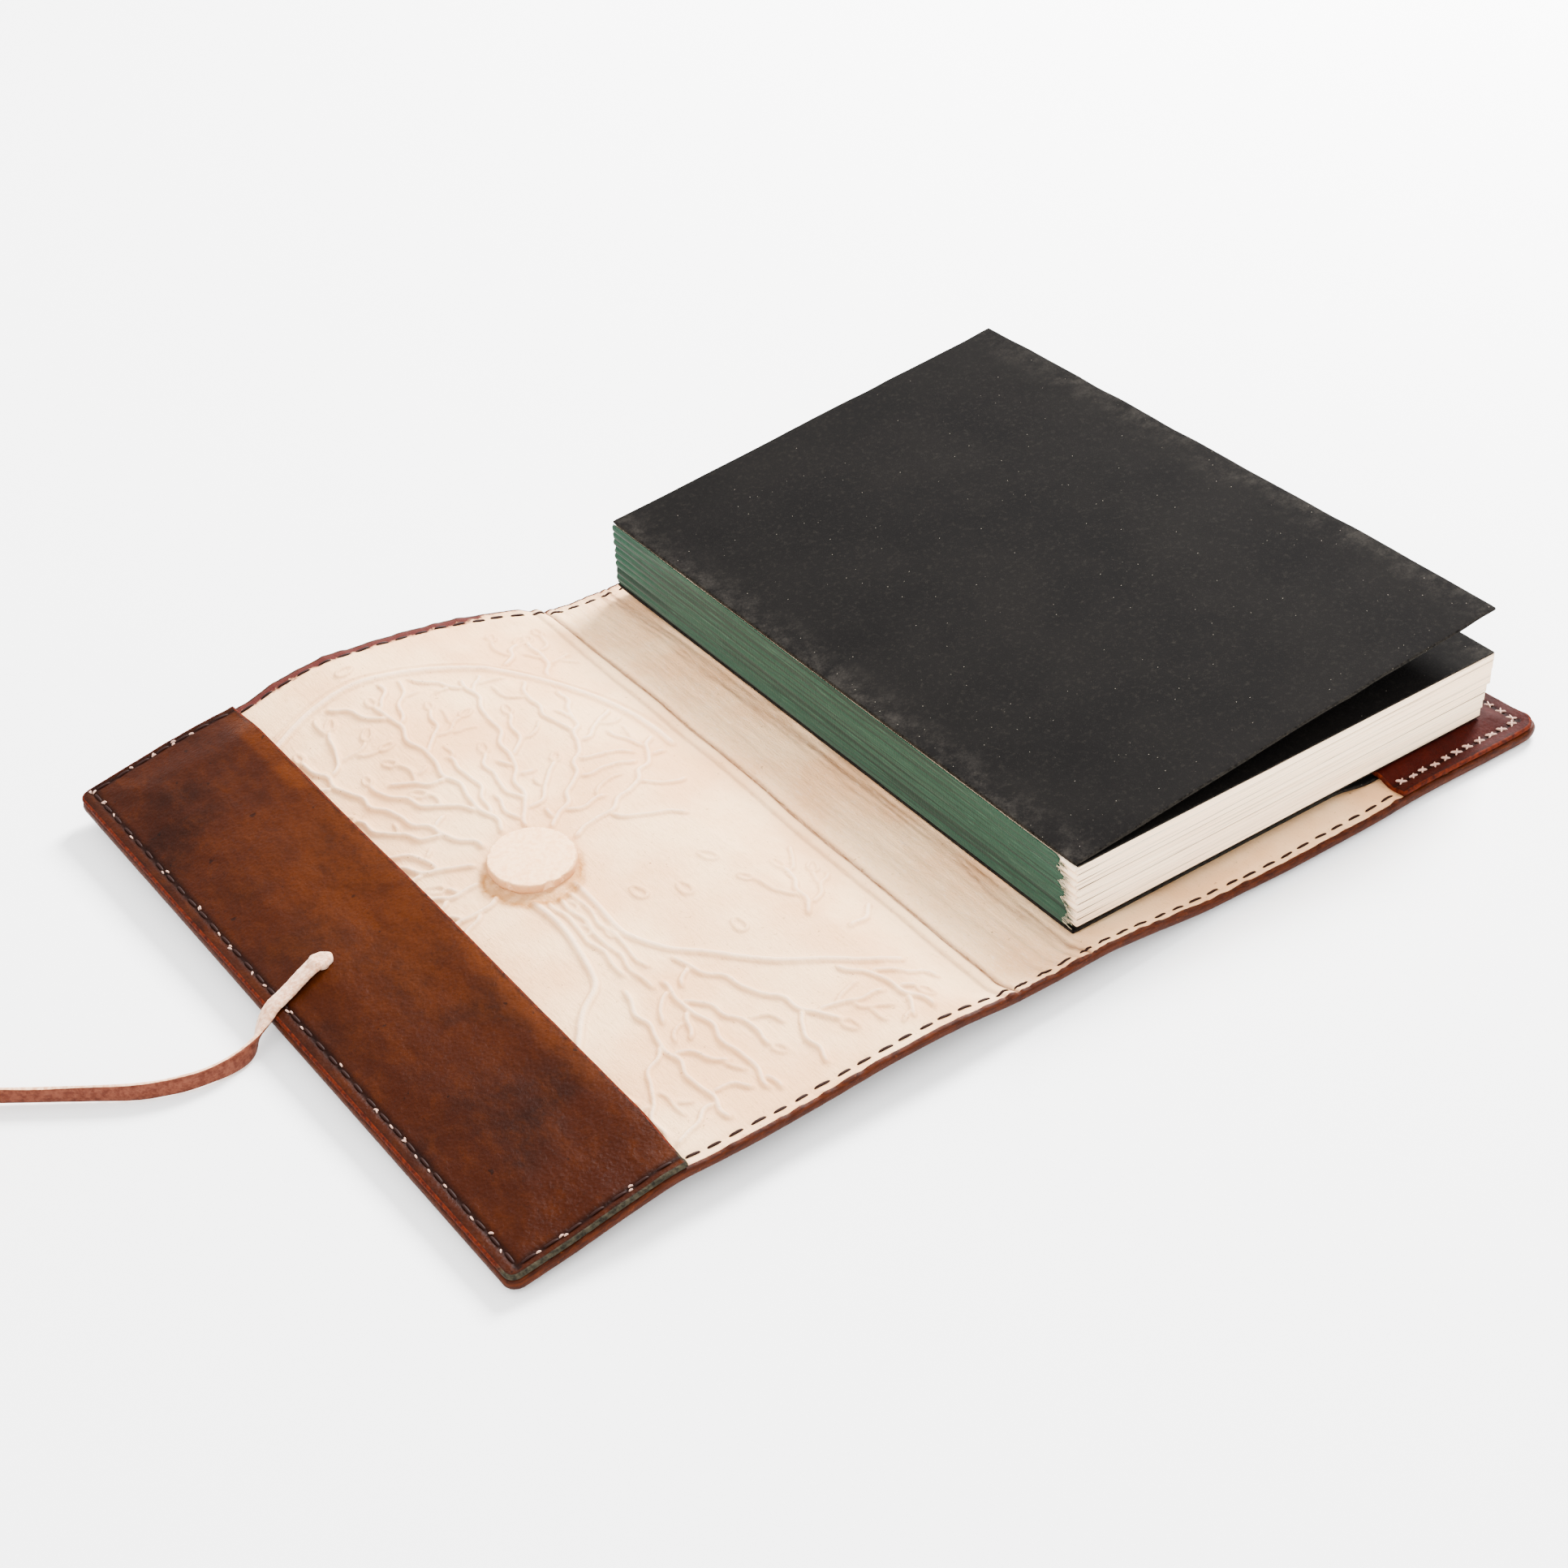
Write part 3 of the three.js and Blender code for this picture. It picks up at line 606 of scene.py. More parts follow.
def raw_edge_material():
    """Cut leather: left pale along the near side and burnished with the rest everywhere else."""
    p = Paint("raw_edge", 0.8, gloss=0.06)
    field = p.noise(0.9, 4, 0.65)
    pale = p.mix(p.span(field, 0.32, 0.68), "605b4e", "38352d")
    brown = p.mix(p.span(field, 0.32, 0.68), "7a3f17", "522610")
    burnished = p.math("MAXIMUM", p.span(p.axis("Y"), -92.5, -89), p.span(p.axis("X"), -60, -40))
    return p.finish(p.mix(burnished, pale, brown), None, p.bump(field, 0.35, 0.6))


def plain_material(name, a, b, scale, rough, distance, sheen=0.0):
    """Two tones in a fine mottle, for thread and lace."""
    p = Paint(name, rough, sheen=sheen, gloss=0.08)
    field = p.noise(scale, 4, 0.65)
    return p.finish(p.mix(p.span(field, 0.32, 0.68), a, b), None, p.bump(field, distance, 0.6))


def card_material():
    p = Paint("black_card", 0.85, gloss=0.028)
    cloudy = p.noise(0.03, 4, 0.6)
    c = p.mix(p.span(cloudy, 0.3, 0.7), "272423", "2f2c2a")
    c = p.mix(p.times(p.span(p.noise(0.8, 7, 0.8), 0.5, 0.8), 0.4), c, "59554f")
    rubbed = p.math("MAXIMUM", p.span(p.axis("X"), 11, 0, 0, 1), p.span(p.axis("X"), 112, 124, 0, 0.8))
    c = p.mix(p.times(rubbed, p.span(p.noise(0.16, 7, 0.85), 0.42, 0.8, 0, 0.6)), c, "625e59")
    rare = p.span(p.cells(0.9, "Color"), 0.78, 0.82)
    c = p.mix(p.times(p.span(p.cells(0.9), 0.09, 0.03), rare), c, "b3aca2")
    c = p.mix(p.span(p.cells(2.1), 0.1, 0.03, 0, 0.35), c, "8a857c")
    ragged = p.uneven(p.value("rim"), 1.6, 1.1, 4, 0.7)
    c = p.mix(p.span(ragged, 0.3, 0, 0, 0.3), c, "5c5852")
    return p.finish(c, None, p.bump(p.noise(2.5, 5, 0.7), 0.08, 0.6))


def paper_material():
    """Leaves: the lines between them show only on the three cut edges, as painted shade, and the sections' faces there
    are painted darker as shade between the sections.
    """
    p = Paint("paper_edges", 0.9)
    ends = p.span(p.math("ABSOLUTE", p.axis("Y")), 87.6, 87.95)
    cut = p.math("MAXIMUM", ends, p.span(p.axis("X"), 121.6, 122.4))
    leaves = p.noise(1.0, 3, 0.7, along=p.stretch(0.02, 0.02, 7.5), warp=0.15)
    c = p.mix(p.times(cut, p.span(leaves, 0.35, 0.7)), "ffefd8", "f4dabb")
    c = p.mix(p.span(p.noise(0.06, 3), 0.4, 0.7, 0, 0.35), c, "f6dfc6")
    # Painted shade: thin dark lines between the leaves on the cut edges.
    leaf_line_shade = p.noise(1.0, 2, 0.5, along=p.stretch(0.006, 0.01, 3.1), warp=0.1)
    line = p.span(p.off(leaf_line_shade, 0.56), 0.018, 0.004, 0, 0.85)
    c = p.mix(p.times(cut, line), c, "85766a")
    # Painted shade between the sections: faces carrying the gap mask are darkened on the cut edges.
    c = p.mix(p.times(cut, p.value("gap")), c, "6e6053")
    return p.finish(c, None, p.bump(leaves, 0.12, 0.55))


def cloth_material():
    p = Paint("green_cloth", 0.85, sheen=0.1, gloss=0.1)
    ribs = p.noise(1.0, 3, 0.6, along=p.stretch(1, 0.012, 2.6), warp=0.1)
    cross = p.noise(1.0, 3, 0.6, along=p.stretch(1, 3.2, 1.6))
    c = p.mix(p.span(ribs, 0.35, 0.65), "244b3b", "366553")
    c = p.mix(p.span(cross, 0.5, 0.8, 0, 0.5), c, "183626")
    c = p.mix(p.span(p.off(ribs, 0.5), 0.018, 0.004, 0, 0.5), c, "5d8270")
    c = p.mix(p.span(p.noise(3.2, 3, 0.7), 0.72, 0.8, 0, 0.5), c, "c3d0c4")
    normal = p.bump(ribs, 0.14, 0.5, p.bump(cross, 0.18, 0.5))
    return p.finish(c, None, normal)


def stone_material():
    p = Paint("polished_stone", 0.12, coat=0.6)
    bands = p.noise(0.5, 6, 0.6, warp=1.6)
    c = p.mix(p.span(bands, 0.35, 0.6), "1d3f5c", "4f86a8")
    return p.finish(p.mix(p.span(bands, 0.62, 0.7, 0, 0.7), c, "c9d9df"))


def disc_material():
    p = Paint("disc_leather", 0.85)
    grainy = p.noise(0.8, 5, 0.7)
    c = p.mix(p.span(grainy, 0.35, 0.7), "f7d8b6", "efc8a0")
    c = p.mix(p.span(p.noise(2.4, 3, 0.7), 0.64, 0.76, 0, 0.6), c, "bd9066")
    edge = p.uneven(p.radius(), 1.2, 0.9, 4, 0.7)
    c = p.mix(p.span(edge, 9.45, 9.75, 0, 0.6), c, "c49a6c")
    return p.finish(c, None, p.bump(grainy, 0.15, 0.5))


FLESH = flesh_material()
OUTSIDE = dyed_material("dyed_outside", "351f0d", "583212", "6e461c")
POCKET_BROWN = dyed_material("pocket_brown", "361c06", "522d09", "6c420c", edge="241108")
POCKET_RED = dyed_material("pocket_red", "381308", "541e0b", "642a11", (0.6, 0.72), "240e07", 0.04)
EDGE = edge_material()
RAW_EDGE = raw_edge_material()
DARK_THREAD = plain_material("dark_thread", "321a10", "4c2a19", 2.5, 0.6, 0.1)
PALE_THREAD = plain_material("pale_thread", "dcc4b8", "b59384", 2.2, 0.7, 0.1)
LACE_FLESH = plain_material("lace_flesh", "e6cbb4", "cba284", 1.2, 0.9, 0.35, sheen=0.3)
LACE_GRAIN = plain_material("lace_grain", "744838", "8d6251", 0.8, 0.6, 0.2)
CARD = card_material()
PAPER = paper_material()
CLOTH = cloth_material()
STONE = stone_material()
LINEN = plain_material("linen_thread", "e9e1d0", "cfc3aa", 3.0, 0.8, 0.08)
DISC_LEATHER = disc_material()


# ---------------------------------------------------------------- sheets with rounded rims
ALL_SIDES = ("near", "high", "far", "low")
RIM_RINGS = 7


def rounded_plan(x, y, x_edge, y_near, y_far, radius):
    """Pulls the square corners at one edge of a grid in to round ones."""
    toward = 1 if x_edge > np.mean(x) else -1
    a = np.clip((toward * (x - x_edge) + radius) / radius, 0, 1)
    b_far = np.clip((y - y_far + radius) / radius, 0, 1)
    b_near = np.clip((y_near + radius - y) / radius, 0, 1)
    b = b_far + b_near
    both = (a > 0) & (b > 0)
    a2, b2 = a * np.sqrt(1 - b * b / 2), b * np.sqrt(1 - a * a / 2)
    x2 = x_edge - toward * radius + toward * a2 * radius
    y2 = np.where(b_far > 0, y_far - radius + b2 * radius, y_near + radius - b2 * radius)
    return np.where(both, x2, x), np.where(both, y2, y)


def chains(nx, ny, sides):
    """The grid's border, counter-clockwise from above, as runs of (i, j) along the named sides."""
    runs = {
        "near": [(i, 0) for i in range(nx)],
        "high": [(nx - 1, j) for j in range(ny)],
        "far": [(i, ny - 1) for i in range(nx - 1, -1, -1)],
        "low": [(0, j) for j in range(ny - 1, -1, -1)],
    }
    if len(sides) == len(ALL_SIDES):
        return [([spot for s in ALL_SIDES for spot in runs[s][:-1]], True)]
    start = next(i for i, s in enumerate(ALL_SIDES) if s not in sides)
    found, run = [], []
    for k in range(1, 5):
        s = ALL_SIDES[(start + k) % 4]
        if s in sides:
            run += runs[s] if not run else runs[s][1:]
        elif run:
            found.append((run, False))
            run = []
    return found + ([(run, False)] if run else [])


def sheet_piece(name, x_span, y_span, step, sides, top, bottom, mats, masks=None, corner=0.0, edge_x=None, *,
                place, round_by):
    """A sheet, closed by its rounded rim along the given sides and open along the others. top and bottom give its
    faces' heights over the surface that place() follows, sides are those with a rim, and round_by is how far the rim
    rounds out."""
    r = round_by
    inset = {s: r if s in sides else 0.0 for s in ALL_SIDES}
    x0, x1 = x_span[0] + inset["low"], x_span[1] - inset["high"]
    y0, y1 = y_span[0] + inset["near"], y_span[1] - inset["far"]
    nx, ny = max(3, int(round((x1 - x0) / step)) + 1), max(3, int(round((y1 - y0) / step)) + 1)
    gx, gy = np.meshgrid(np.linspace(x0, x1, nx), np.linspace(y0, y1, ny), indexing="ij")
    if corner:
        inner_edge = edge_x + (r if edge_x < np.mean(x_span) else -r)
        gx, gy = rounded_plan(gx, gy, inner_edge, y0, y1, corner)
    t, b = top(gx, gy), bottom(gx, gy)
    verts = [place(gx, gy, t).reshape(-1, 3), place(gx, gy, b).reshape(-1, 3)]
    plans = [np.stack([gx, gy, t], -1).reshape(-1, 3), np.stack([gx, gy, b], -1).reshape(-1, 3)]
    ids = np.arange(nx * ny).reshape(nx, ny)
    quad = np.stack([ids[:-1, :-1], ids[1:, :-1], ids[1:, 1:], ids[:-1, 1:]], -1).reshape(-1, 4)
    faces, index = [quad, quad[:, ::-1] + nx * ny], [np.zeros(len(quad)), np.full(len(quad), 2)]
    count = 2 * nx * ny
    for run, closed in chains(nx, ny, sides):
        i, j = np.array(run).T
        px, py, pt, pb = gx[i, j], gy[i, j], t[i, j], b[i, j]
        if closed:
            tx, ty = np.roll(px, -1) - np.roll(px, 1), np.roll(py, -1) - np.roll(py, 1)
        else:
            tx, ty = np.gradient(px), np.gradient(py)
        size = np.hypot(tx, ty) + 1e-9
        ox, oy = ty / size, -tx / size
        if not closed and run[0][1] == 0 and "near" in sides and "low" not in sides:
            ox[0], oy[0] = 0, -1
        previous = ids[i, j]
        last = ids[i, j] + nx * ny
        for k in range(1, RIM_RINGS + 1):
            if k < RIM_RINGS:
                a = math.pi * k / RIM_RINGS
                out = r * abs(math.sin(a)) ** 0.7
                c = math.copysign(abs(math.cos(a)) ** 0.8, math.cos(a))
                h = (pt + pb) / 2 + c * (pt - pb) / 2
                qx, qy = px + ox * out, py + oy * out
                verts.append(place(qx, qy, h))
                plans.append(np.stack([qx, qy, h], -1))
                current = count + np.arange(len(run))
                count += len(run)
            else:
                current = last
            n = len(run)
            m = np.arange(n if closed else n - 1)
            nxt = (m + 1) % n
            faces.append(np.stack([previous[m], current[m], current[nxt], previous[nxt]], -1))
            index.append(np.full(len(m), 1))
            previous = current
    verts, plans = np.concatenate(verts), np.concatenate(plans)
    rim = np.full(len(verts), 99.0)
    for side, line in (("near", plans[:, 1] - y_span[0]), ("far", y_span[1] - plans[:, 1]),
                       ("low", plans[:, 0] - x_span[0]), ("high", x_span[1] - plans[:, 0])):
        if side in sides:
            rim = np.minimum(rim, line)
    attrs = {"rest": plans, "rim": rim}
    for key, mask in (masks or {}).items():
        attrs[key] = mask(plans[:, 0], plans[:, 1])
    return build(name, verts, [np.concatenate(faces)], mats, np.concatenate(index), attrs)


SEAM_NEAR, SEAM_FAR = NEAR + 3.1, FAR - 2.7
CUT_BACK, CUT_FRONT = -3.5, -17.5
FORE_EDGE, BACK_EDGE = -139.4, 139.5
LEFT_MOUTH, RIGHT_MOUTH = -97.6, 96.5


PRESSED = 1.9


def inside_height(x, y):
    """How the inside face stands off the plain sheet: pressed tree, creases, seams and fibres."""
    x, y = np.asarray(x, float), np.asarray(y, float)
    h = PRESSED * TREE.at(x, y) * smoothstep((-17 - x) / 3)
    spine = smoothstep((x + 14.5) / 3) * smoothstep((9 - x) / 5)
    h = h + spine * (0.13 * bumps(x, y, 0.9, 9, 3) + 0.08 * bumps(x, y, 0.5, 4, 4))
    plain = smoothstep((95 - np.abs(y)) / 30) * (1 - spine)
    h = h + 0.06 * bumps(x, y, 1.1, 1.6, 5) + 0.25 * bumps(x, y, 17, 23, 6) * plain
    wobble = 0.35 * bumps(x, y, 9, 14, 7)
    for at, tall, wide in ((13.6, -0.62, 0.62), (16.0, 0.3, 0.8), (17.6, -0.22, 0.6)):
        h = h + tall * bell(x + at + wobble, wide)
    for at, deep, seed in ((2.6, 0.22, 8), (4.6, 0.34, 9), (6.4, 0.42, 10), (8.6, 0.3, 12)):
        h = h - deep * bell(x - at - 0.8 * bumps(x, y, 30, 12, seed), 0.42)
    for line in (SEAM_NEAR, SEAM_FAR):
        h = h - 0.26 * bell(y - line, 0.75)
    border = smoothstep((np.abs(y) - 90.5) / 3)
    return h + border * (0.22 * bumps(x, y, 2.3, 3.5, 13) + 0.16 * bumps(x, y, 5.5, 4, 14))


def outside_height(x, y):
    return -LEATHER + 0.9 * TREE.at(x, y) * smoothstep((-17 - x) / 3)


# A darker tan ring round the disc, reaching furthest out on the disc's near side.
def disc_ring_mask(x, y):
    dx, dy = x - DISC_AT[0], y - DISC_AT[1]
    d = np.hypot(dx, dy)
    a = np.arctan2(dy, dx)
    reach = 10.6 + 3.4 * smoothstep((np.cos(a + 2.04) + 0.2) / 1.2) + 0.7 * bumps(a * 3, d * 0, 0.5, 1, 15)
    ring = bell(d - reach, 0.7) * 0.8 + smoothstep((reach - d) / 0.8) * smoothstep((d - 8) / 2) * 0.75
    return ring * (0.25 + 0.75 * smoothstep((np.cos(a + 2.04) + 0.75) / 1.1))


FINE_CREASES = ((2.2, 0.5, 21), (3.6, 0.65, 23), (5.2, 0.8, 24), (-1.5, 0.25, 25), (-6.0, 0.2, 26))


def crease_tone_and_shade_mask(x, y):
    """Darker lines: the front crease's two, and the fine ones along the back crease; partly the leather's own crease
    colour and partly painted shade in the crease grooves.
    """
    wobble = 0.35 * bumps(x, y, 9, 14, 7)
    dark = 1.15 * bell(x + 13.6 + wobble, 0.55) + 0.5 * bell(x + 17.2 + wobble, 0.5)
    for at, share, seed in FINE_CREASES:
        dark = dark + share * bell(x - at - bumps(x, y, 30, 16, seed), 0.38)
    return dark + 0.1 * bell(x - 5.0 - bumps(x, y, 20, 14, 21), 2.2)


def bleed_mask(x, y):
    """How far the outside's dye runs in over the rim, in mm: most along the front panel's far edge."""
    return 1.9 * smoothstep((y - 82) / 8) * smoothstep((-26 - x) / 12) - 0.25 * smoothstep(-y / 40)


HIDE_MASKS = {
    "fibrous": lambda x, y: 0.12 + 0.88 * smoothstep((x + 14.5) / 3) * smoothstep((10 - x) / 6),
    "crease": crease_tone_and_shade_mask,
    "stain": disc_ring_mask,
    "bleed": bleed_mask,
    # ridge: where the pressed tree stands up; the flesh side paints a highlight on its tops and shade round its foot
    "ridge": lambda x, y: np.clip(TREE.at(x, y) * 2.2, 0, 1) * smoothstep((-17 - x) / 3),
}
HIDE_MATS = [FLESH, EDGE, OUTSIDE]


def edge_wander(x, y, h=0.0):
    """The hide as it was cut: its outline wanders a little."""
    sway = 0.35 * bumps(x, 0, 21, 1, 17) * smoothstep((np.abs(y) - 60) / 35) * np.sign(y)
    return on_hide(x, y + sway, h)


def make_hide():
    spans = {"back": (CUT_BACK, BACK_EDGE), "spine": (CUT_FRONT, CUT_BACK), "front": (FORE_EDGE, CUT_FRONT)}
    sides = {"back": ("near", "high", "far"), "spine": ("near", "far"), "front": ("near", "low", "far")}
    steps = {"back": 0.75, "spine": 0.5, "front": 0.42}
    made = {}
    for part, span in spans.items():
        edge = {"back": BACK_EDGE, "front": FORE_EDGE}.get(part)
        made[part] = sheet_piece(
            f"hide_{part}", span, (NEAR, FAR), steps[part], sides[part], inside_height, outside_height, HIDE_MATS,
            HIDE_MASKS, corner={"back": 4.2, "front": 2.0, "spine": 0}[part], edge_x=edge, place=edge_wander, round_by=1.15)
    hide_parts("back_panel")
    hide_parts("spine_panel")
    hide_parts("front_panel_inner", "front_panel_outer")
    bend_back(made["back"])
    bend_spine(made["spine"])
    bend_front(made["front"])


def bend_back(obj):
    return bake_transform(obj)


def bend_spine(obj):
    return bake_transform(obj)


def bend_front(obj):
    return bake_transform(obj)


make_hide()


# ---------------------------------------------------------------- pockets
LEFT_SEAM = {"near": NEAR + 3.0, "far": FAR - 2.0, "fore": FORE_EDGE + 3.7}
RIGHT_SEAM = {"near": NEAR + 4.2, "far": FAR - 2.0, "fore": BACK_EDGE - 4.0}
CARD_NEAR, CARD_FAR, CARD_FORE = -86.1, 89.9, 130.4


def left_lift(x, y):
    """The left pocket stands off the hide inside its seam, most of all at its mouth."""
    d = np.minimum(np.minimum(y - LEFT_SEAM["near"], LEFT_SEAM["far"] - y), x - LEFT_SEAM["fore"])
    body = 1.0 * smoothstep((d - 1) / 12)
    mouth = smoothstep((x + 112) / 14) * smoothstep((d - 1) / 14) * (1.0 + 0.5 * bumps(y, 0, 47, 1, 31))
    knob = 0.7 * bell(np.hypot(x + 125, y - 3), 9)
    return 0.1 + body + mouth + knob + 0.16 * bumps(x, y, 13, 19, 32) * smoothstep(d / 6)


def left_groove(x, y):
    d = np.minimum(np.minimum(np.abs(y - LEFT_SEAM["near"]), np.abs(y - LEFT_SEAM["far"])), np.abs(x - LEFT_SEAM["fore"]))
    within = (y > LEFT_SEAM["near"] - 1) & (y < LEFT_SEAM["far"] + 1) & (x > LEFT_SEAM["fore"] - 1)
    return bell(d, 0.75) * within


def left_top(x, y):
    fine = 0.05 * bumps(x, y, 1.4, 1.9, 33) + 0.1 * bumps(x, y, 4, 7, 34)
    return left_lift(x, y) + 1.3 + fine - 0.42 * left_groove(x, y)


def right_lift(x, y):
    """The right pocket rises from its seam over the card inside it."""
    near = (y - RIGHT_SEAM["near"]) / (CARD_NEAR - RIGHT_SEAM["near"] - 0.3)
    far = (RIGHT_SEAM["far"] - y) / (RIGHT_SEAM["far"] - CARD_FAR - 0.3)
    fore = (RIGHT_SEAM["fore"] - x) / (RIGHT_SEAM["fore"] - CARD_FORE - 0.3)
    return 0.08 + 1.32 * smoothstep(near) * smoothstep(far) * smoothstep(fore)


def right_groove(x, y):
    d = np.minimum(np.minimum(np.abs(y - RIGHT_SEAM["near"]), np.abs(y - RIGHT_SEAM["far"])), np.abs(x - RIGHT_SEAM["fore"]))
    within = (y > RIGHT_SEAM["near"] - 1) & (y < RIGHT_SEAM["far"] + 1) & (x < RIGHT_SEAM["fore"] + 1)
    return bell(d, 0.6) * within


def right_top(x, y):
    fine = 0.05 * bumps(x, y, 1.3, 1.8, 43)
    return right_lift(x, y) + 1.15 + fine - 0.38 * right_groove(x, y)


def worn_left(x, y):
    strip = smoothstep((x + 104) / 5) * (0.5 + 0.5 * bumps(x, y, 9, 26, 35))
    centre = 0.7 * bell((x + 108) / 16, 1) * bell((y - 12) / 40, 1)
    rub = bell(x + 100.5, 1.6) * smoothstep((y - 52) / 6) * smoothstep((86 - y) / 5)
    return np.clip(strip + centre + rub, 0, 1)


def make_pockets():
    left = sheet_piece(
        "pocket_left", (FORE_EDGE + 0.5, LEFT_MOUTH), (NEAR + 0.5, FAR - 0.4), 0.5, ("near", "far", "low", "high"),
        left_top, left_lift, [POCKET_BROWN, RAW_EDGE, FLESH],
        {"groove": left_groove, "worn": worn_left}, corner=2.0, edge_x=FORE_EDGE + 0.5, place=edge_wander, round_by=0.6)
    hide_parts("left_pocket")
    bend_front(left)
    right = sheet_piece(
        "pocket_right", (RIGHT_MOUTH, BACK_EDGE - 0.5), (NEAR + 0.6, FAR - 0.5), 0.6, ("near", "far", "low", "high"),
        right_top, right_lift, [POCKET_RED, RAW_EDGE, FLESH],
        {"groove": right_groove, "worn": lambda x, y: 0.25 * bell(y + 89, 5)}, corner=3.9, edge_x=BACK_EDGE - 0.5,
        place=edge_wander, round_by=0.55)
    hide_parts("right_pocket")
    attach(right, "cover_back")


make_pockets()


# ---------------------------------------------------------------- stitches
PITCH = 5.25


def dash(heap, x, y, angle, length, lift, width=0.4, tall=0.3, place=on_hide):
    """A stitch that lies on the leather and dives in at both ends."""
    s = np.linspace(-1, 1, 9)
    px = x + s * length / 2 * math.cos(angle)
    py = y + s * length / 2 * math.sin(angle)
    h = lift(px, py) + tall * (1.15 * np.sqrt(1 - np.abs(s) ** 2.6) - 0.62)
    wide = width * (0.55 + 0.45 * np.sqrt(1 - s * s))
    ups = hide_normal(px, py)
    heap.tube(place(px, py, h), wide, wide * tall / width, 8, ups)


def run_stitches():
    rng = np.random.default_rng(5)
    parts = {
        "back": (CUT_BACK, RIGHT_MOUTH - 2, ["back_seam"], bend_back),
        "spine": (CUT_FRONT, CUT_BACK, ["spine_seam"], bend_spine),
        "front": (LEFT_MOUTH + 1, CUT_FRONT, ["inner_seam", "outer_seam"], bend_front),
    }
    for side, line in (("near", SEAM_NEAR), ("far", SEAM_FAR)):
        heaps = {part: Heap() for part in parts}
        for x in np.arange(LEFT_MOUTH + 2.4, RIGHT_MOUTH - 2, PITCH):
            x = x + rng.uniform(-0.25, 0.25)
            part = next(p for p, (low, high, _, _) in parts.items() if low <= x < high)
            y = line + rng.uniform(-0.15, 0.15) + 0.3 * float(bumps(x, 0, 19, 1, 36))
            dash(heaps[part], x, y, rng.uniform(-0.06, 0.06), rng.uniform(3.4, 4.0), inside_height, 0.36, 0.3, edge_wander)
        for part, (_, _, nodes, bend) in parts.items():
            obj = heaps[part].make(f"run_{part}_{side}", [DARK_THREAD])
            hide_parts(*[f"{n}_{side}" for n in nodes])
            bend(obj)


def around(seam, mouth, pitch):
    """Evenly spaced places along a pocket's three-sided seam, with the direction of the seam."""
    fore = seam["fore"]
    turn = 0.0 if fore > mouth else math.pi
    legs = [((mouth, seam["near"]), (fore, seam["near"]), turn),
            ((fore, seam["near"]), (fore, seam["far"]), math.pi / 2),
            ((fore, seam["far"]), (mouth, seam["far"]), turn)]
    for (xa, ya), (xb, yb), angle in legs:
        n = int(round(math.hypot(xb - xa, yb - ya) / pitch))
        for i in range(n):
            t = (i + 0.5) / n
            yield xa + (xb - xa) * t, ya + (yb - ya) * t, angle


def pocket_stitches():
    rng = np.random.default_rng(8)
    thread, bights = Heap(), Heap()
    for x, y, angle in around(LEFT_SEAM, LEFT_MOUTH - 1.5, PITCH):
        dash(thread, x, y, angle + rng.uniform(-0.05, 0.05), 3.5, left_top, 0.36, 0.3, edge_wander)
        bx, by = x + 2.6 * math.cos(angle), y + 2.6 * math.sin(angle)
        for _ in range(int(rng.choice([0, 0, 1, 1, 2]))):
            ox, oy = rng.uniform(-0.6, 0.6, 2)
            dash(bights, bx + ox, by + oy, angle + rng.uniform(-0.7, 0.7), rng.uniform(0.4, 1.1), left_top, 0.2, 0.32, edge_wander)
    a = thread.make("pocket_left_thread", [DARK_THREAD])
    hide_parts("left_pocket_seam")
    b = bights.make("pocket_left_bights", [PALE_THREAD])
    for obj in (a, b):
        bend_front(obj)
    crosses = Heap()
    for x, y, angle in around(RIGHT_SEAM, RIGHT_MOUTH + 1.5, 3.55):
        x, y = x + rng.uniform(-0.2, 0.2), y + rng.uniform(-0.2, 0.2)
        size = rng.uniform(2.3, 3.0)
        for turn in (0.62, -0.62):
            dash(crosses, x, y, angle + turn + rng.uniform(-0.25, 0.25), size * rng.uniform(0.75, 1.05), right_top,
                 0.23, 0.3 if turn > 0 else 0.42, edge_wander)
    obj = crosses.make("pocket_right_crosses", [PALE_THREAD])
    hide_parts("right_pocket_seam")
    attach(obj, "cover_back")


run_stitches()
pocket_stitches()


# ---------------------------------------------------------------- disc, stone and bezel
def turned(name, mats, profile, under, sides=64, wobble=None, at=DISC_AT):
    """A closed shape turned about an axis through the hide. The profile is (radius, height over the hide)."""
    base = on_hide(at[0], at[1], 0.0)
    n = hide_normal(at[0], at[1])
    u = np.cross([0, 1, 0], n)
    u /= np.linalg.norm(u)
    v = np.cross(n, u)
    a = np.arange(sides) * 2 * math.pi / sides
    rings = []
    for k, (r, h) in enumerate(profile):
        rr = r * (1 + (wobble(a, k) if wobble else 0))
        rings.append(base + u * (rr * np.cos(a))[:, None] + v * (rr * np.sin(a))[:, None] + n * h)
    verts = np.concatenate(rings)
    m = len(profile)
    i = np.arange(m - 1)[:, None] * sides
    j = np.arange(sides)[None]
    k = (j + 1) % sides
    quads = np.stack([i + j, i + k, i + sides + k, i + sides + j], -1).reshape(-1, 4)
    rest = verts - base
    obj = build(name, verts, [quads], mats, attrs={"rest": rest})
    return obj


